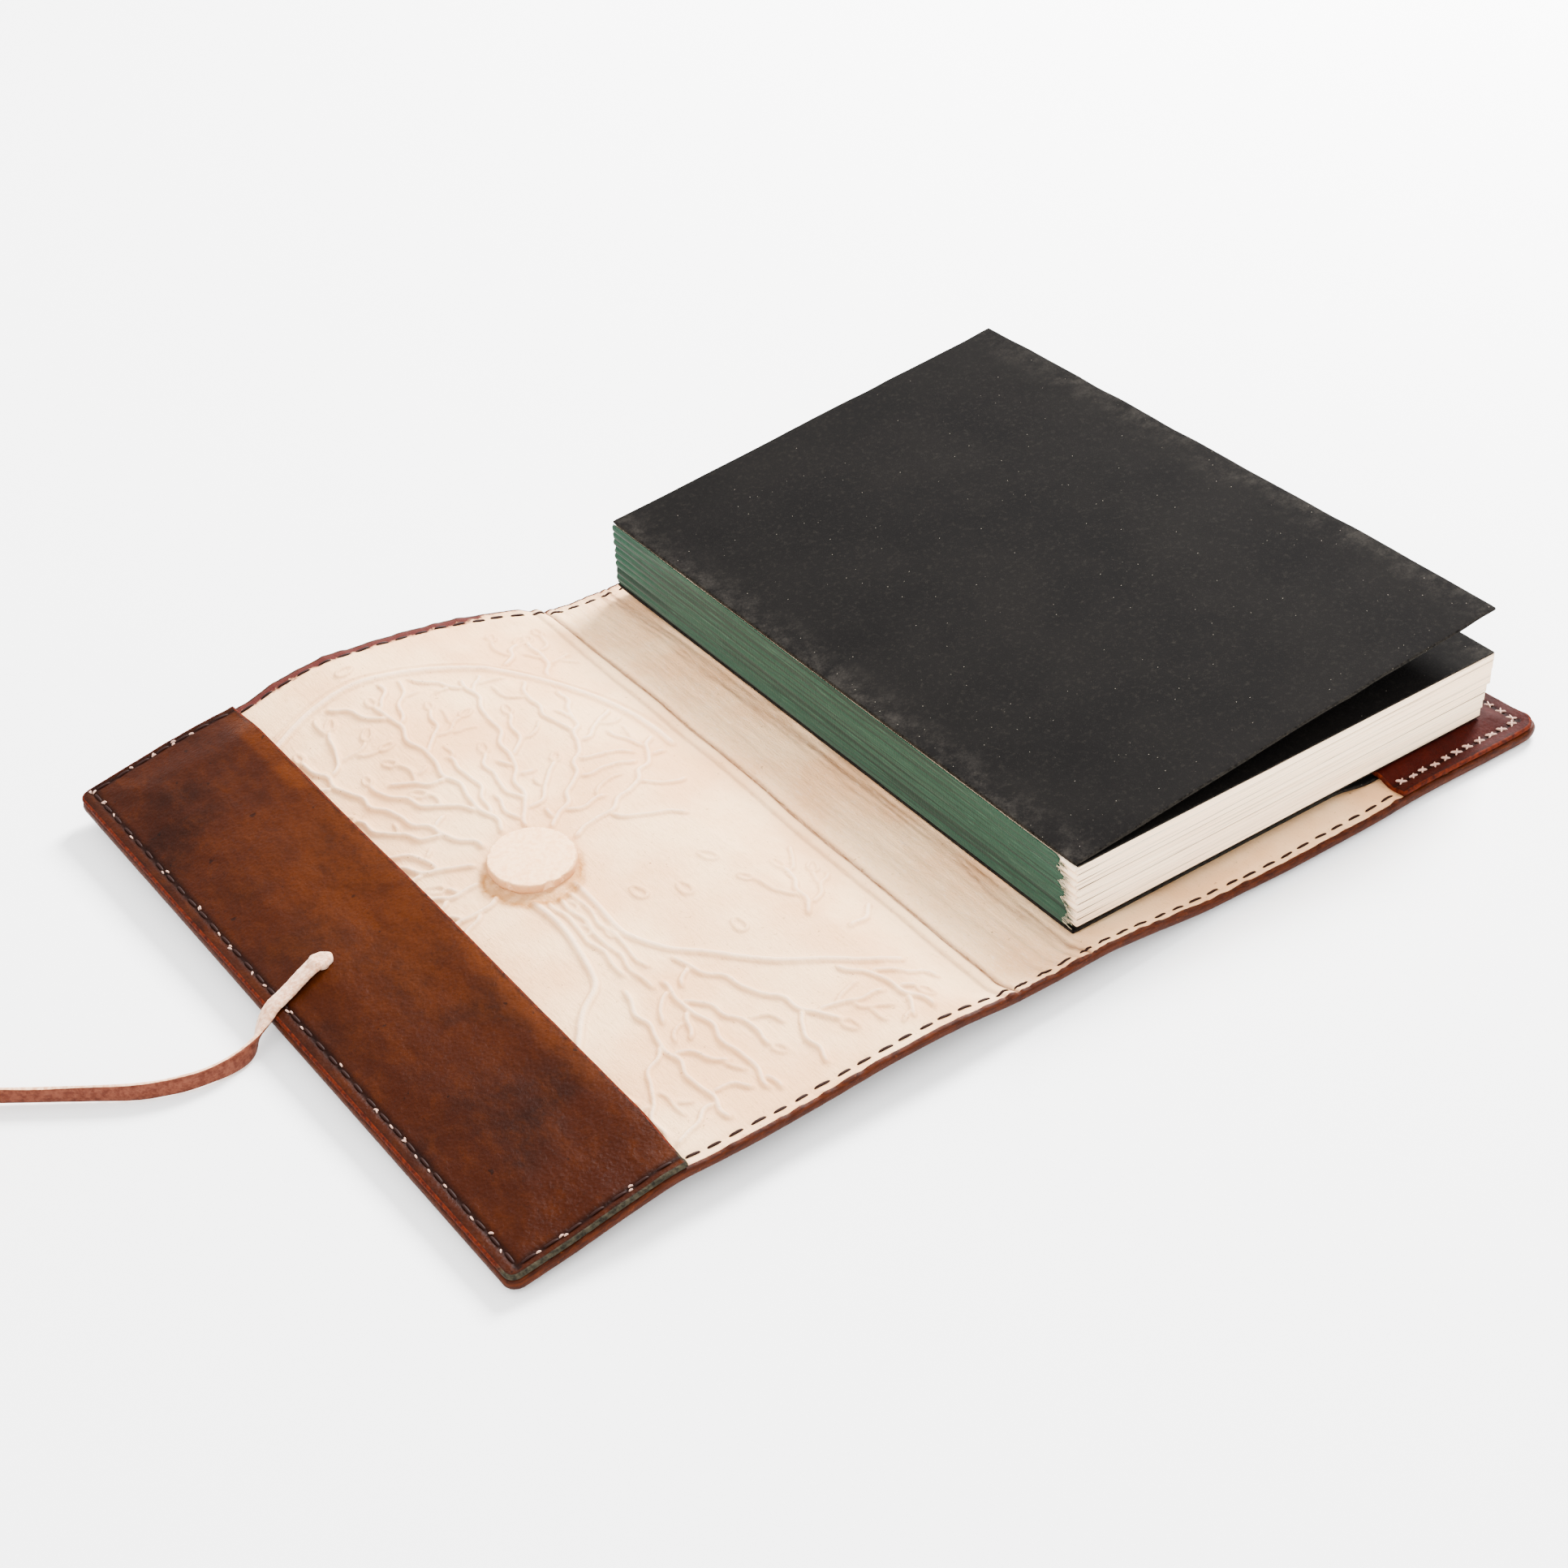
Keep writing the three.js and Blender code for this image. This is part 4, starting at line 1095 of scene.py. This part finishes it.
def make_disc():
    rng = np.random.default_rng(3)
    chips = [(2.35, 0.055, 0.11), (2.05, 0.04, 0.07), (3.6, 0.035, 0.09), (4.55, 0.06, 0.13), (4.9, 0.04, 0.08)]

    def wobble(a, k):
        cut = 0.012 * np.interp(a, np.linspace(0, 2 * math.pi, 40), np.r_[rng.uniform(-1, 1, 39), 0])
        for at, deep, wide in chips:
            cut = cut - deep * bell((a - at + math.pi) % (2 * math.pi) - math.pi, wide)
        return cut * (1 if 1 < k < 8 else 0.3)

    rng_state = rng.bit_generator.state

    def steady(a, k):
        rng.bit_generator.state = rng_state
        return wobble(a, k)

    profile = [(0.01, -0.3), (9.7, -0.3), (9.86, 0.1), (9.93, 0.9), (9.93, 1.7), (9.88, 1.92), (9.75, 2.02), (9.4, 2.05), (5, 2.08), (0.01, 2.1)]
    disc = turned("disc_back", [DISC_LEATHER], profile, False, 220, steady)
    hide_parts("backing_disc")
    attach(disc, "cover_front_inner")
    ring = [(7.4, -2.2), (7.5, -4.1), (7.9, -4.5), (8.6, -4.6), (9.5, -4.45), (10.4, -3.9), (10.9, -3.1), (10.95, -2.4), (10.8, -2.2), (7.4, -2.2)]
    bezel = turned("bezel_leather", [POCKET_BROWN], ring, True, 96, lambda a, k: 0.006 * np.sin(9 * a + k))
    bezel.data.flip_normals()
    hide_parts("stone_bezel")
    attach(bezel, "cover_front_inner")
    dome = [(0.01, -0.6), (7.45, -0.6), (7.45, -3.6)]
    dome += [(7.45 * math.cos(t), -3.6 - 3.7 * math.sin(t)) for t in np.linspace(0.1, 1.565, 14)]
    stone = turned("stone_cabochon", [STONE], dome, True, 96)
    stone.data.flip_normals()
    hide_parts("stone")
    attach(stone, "cover_front_inner")


make_disc()


# ---------------------------------------------------------------- thong
LACE_WIDTH, LACE_THICK = 4.0, 1.25
COIL_AT, COIL_OUT, COIL_IN, COIL_Z = np.array([-230.2, 12.0]), 26.0, 17.2, 3.4
KNOB_AT = np.array([-124.4, 3.0])


def lace_line():
    over = []
    for x, y in ((-124.6, 3.0), (-126.5, 2.9), (-129, 2.5), (-132, 1.9), (-135, 1.2), (-137.6, 0.7)):
        over.append(on_hide(x, y, left_top(np.array(x), np.array(y)) + (0.95 if x > -136 else 0.8)))
    over.append([-140.0, 0.2, 5.4])
    floor = [(-142.3, -0.9, 3.9), (-145.0, -3.0, 2.6), (-148.4, -4.6, 2.1), (-153, -5.2, 2.05), (-158, -4.8, 2.05),
             (-164, -3.2, 2.05), (-170, -0.4, 2.05), (-178, 5.2, 2.1), (-186, 11.2, 2.1), (-194, 17.2, 2.2),
             (-200, 21.8, 2.6), (-203.6, 25.2, 3.1)]
    p = np.array([*over, *floor], float)
    first = math.atan2(25.2 - COIL_AT[1] + 4.0, -203.6 - COIL_AT[0])
    turns = 4.36
    a = np.linspace(0, turns * 2 * math.pi, int(turns * 40))
    r = COIL_OUT - (COIL_OUT - COIL_IN) * a / a[-1]
    coil = np.stack([COIL_AT[0] + r * np.cos(first + a), COIL_AT[1] + r * np.sin(first + a), np.full(len(a), COIL_Z)], -1)
    p = np.concatenate([p, coil])
    for _ in range(2):
        step = np.r_[0, np.cumsum(np.linalg.norm(np.diff(p, axis=0), axis=1))]
        s = np.linspace(0, step[-1], int(step[-1] / 1.1))
        smooth = np.stack([curve(s, np.stack([step, p[:, k]], -1)) for k in range(3)], -1)
        inner = (smooth[:-2] + 2 * smooth[1:-1] + smooth[2:]) / 4
        p = np.concatenate([smooth[:1], inner, smooth[-1:]])
    return p


def make_lace():
    p = lace_line()
    n = len(p)
    s = np.r_[0, np.cumsum(np.linalg.norm(np.diff(p, axis=0), axis=1))]
    tangent = np.gradient(p, axis=0)
    tangent /= np.linalg.norm(tangent, axis=1)[:, None]
    flat_side = np.cross(tangent, [0, 0, 1.0])
    flat_side /= np.linalg.norm(flat_side, axis=1)[:, None]
    over = np.cross(flat_side, tangent)
    turn = math.radians(6) + math.radians(84) * smoothstep((s - 13.5) / 13)
    turn = turn + 0.16 * bumps(s, 0, 23, 1, 51) * smoothstep((s - 8) / 20) * smoothstep((95 - s) / 20)
    face = over * np.cos(turn)[:, None] + flat_side * np.sin(turn)[:, None]
    wide = np.cross(tangent, face)
    half = LACE_WIDTH / 2 * (1 + 0.05 * bumps(s, 0, 7, 1, 52) + 0.12 * smoothstep((5 - s) / 5))
    thick = LACE_THICK / 2 * (1 + 0.08 * bumps(s, 0, 4, 1, 53))
    outline = [(-1, -0.45), (-0.9, -0.95), (-0.45, -1), (0, -1), (0.45, -1), (0.9, -0.95), (1, -0.45), (1, 0.45),
               (0.9, 0.95), (0.45, 1.0), (0, 1.05), (-0.45, 1.0), (-0.9, 0.95), (-1, 0.45)]
    m = len(outline)
    rng = np.random.default_rng(14)
    rings = []
    for a, b in outline:
        fuzz = 0.07 * rng.uniform(-1, 1, n) if b > -0.5 else np.zeros(n)
        rings.append(p + wide * (a * half + fuzz)[:, None] + face * (b * thick + 0.6 * fuzz)[:, None])
    verts = np.stack(rings, 1).reshape(-1, 3)
    i = np.arange(n - 1)[:, None] * m
    j = np.arange(m)[None]
    k = (j + 1) % m
    quads = np.stack([i + j, i + k, i + m + k, i + m + j], -1).reshape(-1, 4)[:, ::-1]
    side = np.broadcast_to(np.where((j >= 0) & (j < 6), 1, 0), (n - 1, m)).reshape(-1)
    ends = [np.arange(m)[None], np.arange(n * m - m, n * m)[None, ::-1]]
    rest = np.stack([np.repeat(s, m), np.tile([a * 2 for a, _ in outline], n), np.tile([b * 0.6 for _, b in outline], n)], -1)
    lace = build("lace", verts, [quads, *ends], [LACE_FLESH, LACE_GRAIN], np.r_[side, 0, 0], {"rest": rest})
    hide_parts("thong_anchor", "thong_tail", "thong_coil")

    rng = np.random.default_rng(15)
    at = on_hide(*KNOB_AT, left_top(*KNOB_AT))
    normal = hide_normal(*KNOB_AT)
    heap = Heap()
    rows, cols = 14, 28
    a = np.arange(cols) * 2 * math.pi / cols
    verts = []
    for t in np.linspace(0.02, 1, rows):
        b = t * math.pi
        r = 2.55 * math.sin(b) ** 0.8
        h = 0.75 - 1.35 * math.cos(b) - 0.75 * math.exp(-((r / 1.1) ** 2)) * (b > 1.6)
        rr = r * (1 + 0.05 * np.sin(3 * a + 2 * t) + 0.04 * np.sin(7 * a))
        verts.append(np.stack([rr * np.cos(a) * 1.1, rr * np.sin(a) * 0.95, np.full(cols, h)], -1))
    verts = np.concatenate(verts) + at
    i = np.arange(rows - 1)[:, None] * cols
    j = np.arange(cols)[None]
    k = (j + 1) % cols
    heap.add(verts, np.stack([i + j, i + k, i + cols + k, i + cols + j], -1).reshape(-1, 4))
    knob = heap.make("lace_knob", [LACE_FLESH], attrs={"rest": verts - at})
    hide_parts("thong_knob")
    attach(knob, "cover_front_outer")

    a = math.radians(200)
    radial, along = np.array([math.cos(a), math.sin(a), 0]), np.array([-math.sin(a), math.cos(a), 0])
    centre = np.array([*COIL_AT, COIL_Z]) + radial * (COIL_OUT + COIL_IN) / 2
    wide, tall = (COIL_OUT - COIL_IN) / 2 + 1.25, 2.5
    b = np.linspace(0, 2 * math.pi, 61)
    power = 0.45
    px = wide * np.sign(np.cos(b)) * np.abs(np.cos(b)) ** power
    pz = tall * np.sign(np.sin(b)) * np.abs(np.sin(b)) ** power
    path = centre + radial * px[:, None] + np.array([0, 0, 1]) * pz[:, None]
    ups = radial * (np.cos(b)[:, None]) + np.array([0, 0, 1]) * np.sin(b)[:, None]
    loop = Heap()
    loop.tube(path, 1.5, 0.42, 10, ups)
    tie = loop.make("lace_tie", [LACE_FLESH], attrs={"rest": np.concatenate(loop.verts) - centre})
    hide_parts("thong_tie")
    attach(tie, "thong")
    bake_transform(lace)


make_lace()


# ---------------------------------------------------------------- notebook
BOOK_AT, BOOK_TILT = (6.8, 1.9, 5.3), math.radians(0.45)
BLOCK_LOW, LAYER = 1.45, 2.05
SIGNATURES, LOWER = 8, 5
HALF_BOOK = 88.0
FORE_ENDS = (122.9, 123.3, 123.7, 124.1, 124.9, 125.0, 125.1, 125.2)
COVER_AT, COVER_LIFT = (0.2, 18.25), math.radians(5.4)


def in_book(x, y, h):
    """A point of the notebook: x from its spine, y from its middle and h over its underside."""
    x, y, h = np.broadcast_arrays(np.asarray(x, float), y, h)
    c, s = math.cos(BOOK_TILT), math.sin(BOOK_TILT)
    return np.stack([BOOK_AT[0] + x * c + h * s, BOOK_AT[1] + y, BOOK_AT[2] - x * s + h * c], -1)


def on_cover(x, y, h):
    """A point of the front cover, which stands a little open and has warped."""
    x, y, h = np.broadcast_arrays(np.asarray(x, float), y, h)
    t = x / 124.4
    far = (y + HALF_BOOK) / (2 * HALF_BOOK)
    h = h + 0.6 * t * t * far + 0.4 * np.sin(math.pi * t) * (1 - far) + 0.1 * t * bumps(x, y, 31, 43, 61)
    x = x - 3.2 * t * far**1.4 + 0.25 * bumps(y, 0, 9, 1, 62) * t
    y = y + 0.22 * bumps(x, 0, 8, 1, 63) * smoothstep((np.abs(y) - 80) / 8)
    c, s = math.cos(COVER_LIFT), math.sin(COVER_LIFT)
    return in_book(COVER_AT[0] + x * c - h * s, y, COVER_AT[1] + x * s + h * c)


def on_back_card(x, y, h):
    """A point of the back cover, which follows the leaves and then steps down into the pocket."""
    x, y, h = np.broadcast_arrays(np.asarray(x, float), y, h)
    slope = BOOK_AT[2] - (x - BOOK_AT[0]) * math.tan(BOOK_TILT)
    return np.stack([x, BOOK_AT[1] + y, slope * (1 - smoothstep((x - 83) / 12)) + 2.7 * smoothstep((x - 83) / 12) + h], -1)


def flat(value):
    return lambda x, y: value + 0 * np.asarray(x, float)


def fold_reach(y, k):
    return 0.55 + 0.16 * bumps(y, k * 7.3, 11, 1, 70)


def make_signature(k):
    rows, columns, arc = 60, 34, 7
    y = np.linspace(-HALF_BOOK, HALF_BOOK, rows)
    low = BLOCK_LOW + k * LAYER
    xs = np.linspace(0, 1, columns) ** 1.25
    a = np.linspace(-math.pi / 2, math.pi / 2, arc + 2)[1:-1]
    verts, plans, gap = [], [], []
    for row, yy in enumerate(y):
        reach = float(fold_reach(yy, k))
        fore = FORE_ENDS[k] + 0.12 * float(bumps(yy, k * 5.1, 17, 1, 71))
        x = reach + 0.9 + (fore - reach - 0.9) * xs
        under = 0.035 + 0.07 * bumps(x, yy, 37, 29, 80 + k) + 0.10 * bell(x - 2, 6)
        over = 0.035 + 0.07 * bumps(x, yy, 33, 31, 90 + k) + 0.10 * bell(x - 2, 6)
        z0, z1 = low + under.clip(0, 0.2), low + LAYER - over.clip(0, 0.2)
        mid, half = (z0[0] + z1[0]) / 2, (z1[0] - z0[0]) / 2
        ax = reach + 0.9 - 0.9 * np.cos(a)
        az = mid + half * np.sin(a)
        ring_x = np.r_[x[::-1], ax, x]
        ring_z = np.r_[z0[::-1], az, z1]
        end = 0.1 * float(bumps(k * 3.3, row, 1, 9, 72)) if row in (0, rows - 1) else 0
        verts.append(in_book(ring_x, yy + end, ring_z))
        plans.append(np.stack([ring_x, np.full(len(ring_x), yy), ring_z], -1))
        # gap: painted shade between the sections, on each section's flat faces and not round its fold
        edge = np.r_[np.ones(columns), np.zeros(len(a)), np.ones(columns)]
        gap.append(0.9 * edge)
    ring = len(verts[0])
    i = np.arange(rows - 1)[:, None] * ring
    j = np.arange(ring)[None]
    nxt = (j + 1) % ring
    quads = [np.stack([i + j, i + ring + j, i + ring + nxt, i + nxt], -1).reshape(-1, 4)]
    verts, plans, gap = np.concatenate(verts), np.concatenate(plans), np.concatenate(gap)
    extra, extra_plans, count = [], [], len(verts)
    tri = []
    for row, flip in ((0, False), (rows - 1, True)):
        ids = row * ring
        block = verts[ids:ids + ring]
        extra.append(block)
        extra_plans.append(plans[ids:ids + ring])
        c = np.arange(columns - 1)
        lo, hi = count + columns - 1 - c, count + columns + arc + c
        face = np.stack([lo, lo - 1, hi + 1, hi], -1)
        quads.append(face[:, ::-1] if flip else face)
        fan = np.arange(columns - 1, columns + arc)
        face = np.stack([np.full(len(fan) - 1, count + columns + arc), count + fan[1:], count + fan[:-1]], -1)
        tri.append(face if not flip else face[:, ::-1])
        count += ring
    verts = np.concatenate([verts, *extra])
    plans = np.concatenate([plans, *extra_plans])
    gap = np.r_[gap, np.zeros(len(verts) - len(gap))]
    obj = build(f"leaves_{k + 1}", verts, [np.concatenate(quads), np.concatenate(tri)], [PAPER], None,
                {"rest": plans, "gap": gap})
    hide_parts(f"signature_{k + 1}")
    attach(obj, "notebook" if k < LOWER else "leaves")


def bend_spine_cloth(obj):
    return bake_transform(obj)


def on_spine(z, y, h):
    """A point of the cloth down the spine, which dips between the folded sections."""
    z, y, h = np.broadcast_arrays(np.asarray(z, float), y, h)
    wave = np.abs(np.sin(math.pi * (z - BLOCK_LOW) / LAYER)) ** 0.7
    end = smoothstep((y - 60) / 28)
    x = 0.40 - (0.06 + 0.1 * end) * wave + 0.42 * end * (1 - wave) + 0.08 * bumps(y, z, 14, 3, 73) - h
    return in_book(x, y, z)


def make_cloth():
    def frayed(z, y, h):
        tear = 3.9 + 1.3 * bumps(z, 0, 1.9, 1, 74) + 0.7 * bumps(z, 0, 0.5, 1, 75) + 0.12 * (z - 10)
        near = smoothstep((-60 - y) / 28)
        return on_spine(z, y + tear * near + 0.3 * bumps(z, 0, 0.7, 1, 76) * smoothstep((y - 80) / 8), h)

    cloth = sheet_piece("spine_cloth", (1.1, 18.2), (-HALF_BOOK, HALF_BOOK), 0.3, ("near", "far", "low", "high"),
                        flat(0.3), flat(0.0), [CLOTH, CLOTH, CLOTH], place=frayed, round_by=0.14)
    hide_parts("spine_tape_lower", "spine_tape_upper")
    bend_spine_cloth(cloth)
    rng = np.random.default_rng(16)
    green, white = Heap(), Heap()
    for _ in range(190):
        z = rng.uniform(1.3, 17.0)
        start = -HALF_BOOK + 3.4 + 1.3 * float(bumps(z, 0, 1.9, 1, 74)) + 0.12 * (z - 10) + rng.uniform(0, 1.4)
        length = rng.uniform(0.8, 3.0)
        t = np.linspace(0, 1, 6)
        zz = z + rng.uniform(-0.5, 0.5) * t**2
        path = on_spine(zz, start - length * t, 0.2 + rng.uniform(0.05, 0.5) * t)
        (green if rng.random() < 0.55 else white).tube(path, 0.055 * (1 - 0.5 * t), None, 5)
    for name, heap, mat in (("frayed_green", green, CLOTH), ("frayed_white", white, LINEN)):
        obj = heap.make(name, [mat], attrs={"rest": np.concatenate(heap.verts)})
        bend_spine_cloth(obj)


def make_sewing():
    for part, low, high, body in (("lower", 1.5, 11.5, "notebook"), ("upper", 11.8, 17.9, "leaves")):
        for n, y in enumerate((-62, 0, 62)):
            heap = Heap()
            z = np.linspace(low, high, 30)
            path = in_book(0.62 + 0.1 * np.sin(z * 2 * math.pi / LAYER), y + 0.3 * np.sin(z * math.pi / LAYER), z)
            heap.tube(path, 0.24, None, 6)
            obj = heap.make(f"sewing_{part}_{n + 1}", [LINEN], attrs={"rest": np.concatenate(heap.verts)})
            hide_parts(f"sewing_thread_{part}_{n + 1}")
            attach(obj, body)


def make_notebook():
    whole = (-HALF_BOOK, HALF_BOOK)
    plan = [
        ("card_back", (6.8, 130.4), 0.9, 0.0, on_back_card, "back_cover", "notebook", 0.4),
        ("endpaper_back", (0.9, 122.9), 1.36, 1.1, in_book, "back_endpaper", "notebook", 0.12),
        ("flyleaf_front", (0.9, 125.3), 18.1, 17.86, in_book, "front_flyleaf", "leaves", 0.12),
        ("card_front", (0.1, 124.4), 0.9, 0.0, on_cover, "front_cover", "notebook_cover", 0.4),
    ]
    for name, span, high, low, place, node, body, round_by in plan:
        obj = sheet_piece(name, span, whole, 1.6, ALL_SIDES, flat(high), flat(low), [CARD] * 3, place=place,
                          round_by=round_by)
        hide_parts(node)
        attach(obj, body)
    for k in range(SIGNATURES):
        make_signature(k)
    make_cloth()
    make_sewing()


make_notebook()


# ---------------------------------------------------------------- floor, light and finish
def stage():
    floor = bpy.data.meshes.new("floor")
    floor.from_pydata([(-6, -6, -0.0004), (6, -6, -0.0004), (6, 6, -0.0004), (-6, 6, -0.0004)], [], [(0, 1, 2, 3)])
    ground = bpy.data.objects.new("floor", floor)
    bpy.context.scene.collection.objects.link(ground)
    p = Paint("floor_white", 0.9)
    floor.materials.append(p.finish("f7f7f7"))
    lights = [
        ("key", (0.95, 0.4, 0.8), 0.45, 112.0),
        ("fill", (-0.75, -0.55, 0.8), 1.2, 15.0),
    ]
    for name, at, size, power in lights:
        data = bpy.data.lights.new(name, "AREA")
        data.size = size
        data.energy = power
        lamp = bpy.data.objects.new(name, data)
        bpy.context.scene.collection.objects.link(lamp)
        lamp.location = at
        lamp.rotation_mode = "QUATERNION"
        lamp.rotation_quaternion = (Vector((-0.02, 0, 0)) - Vector(at)).to_track_quat("-Z", "Y")
    world = bpy.data.worlds.new("studio")
    world.use_nodes = True
    world.node_tree.nodes["Background"].inputs["Color"].default_value = (1, 1, 1, 1)
    world.node_tree.nodes["Background"].inputs["Strength"].default_value = 3.0
    bpy.context.scene.world = world


place_camera()
stage()
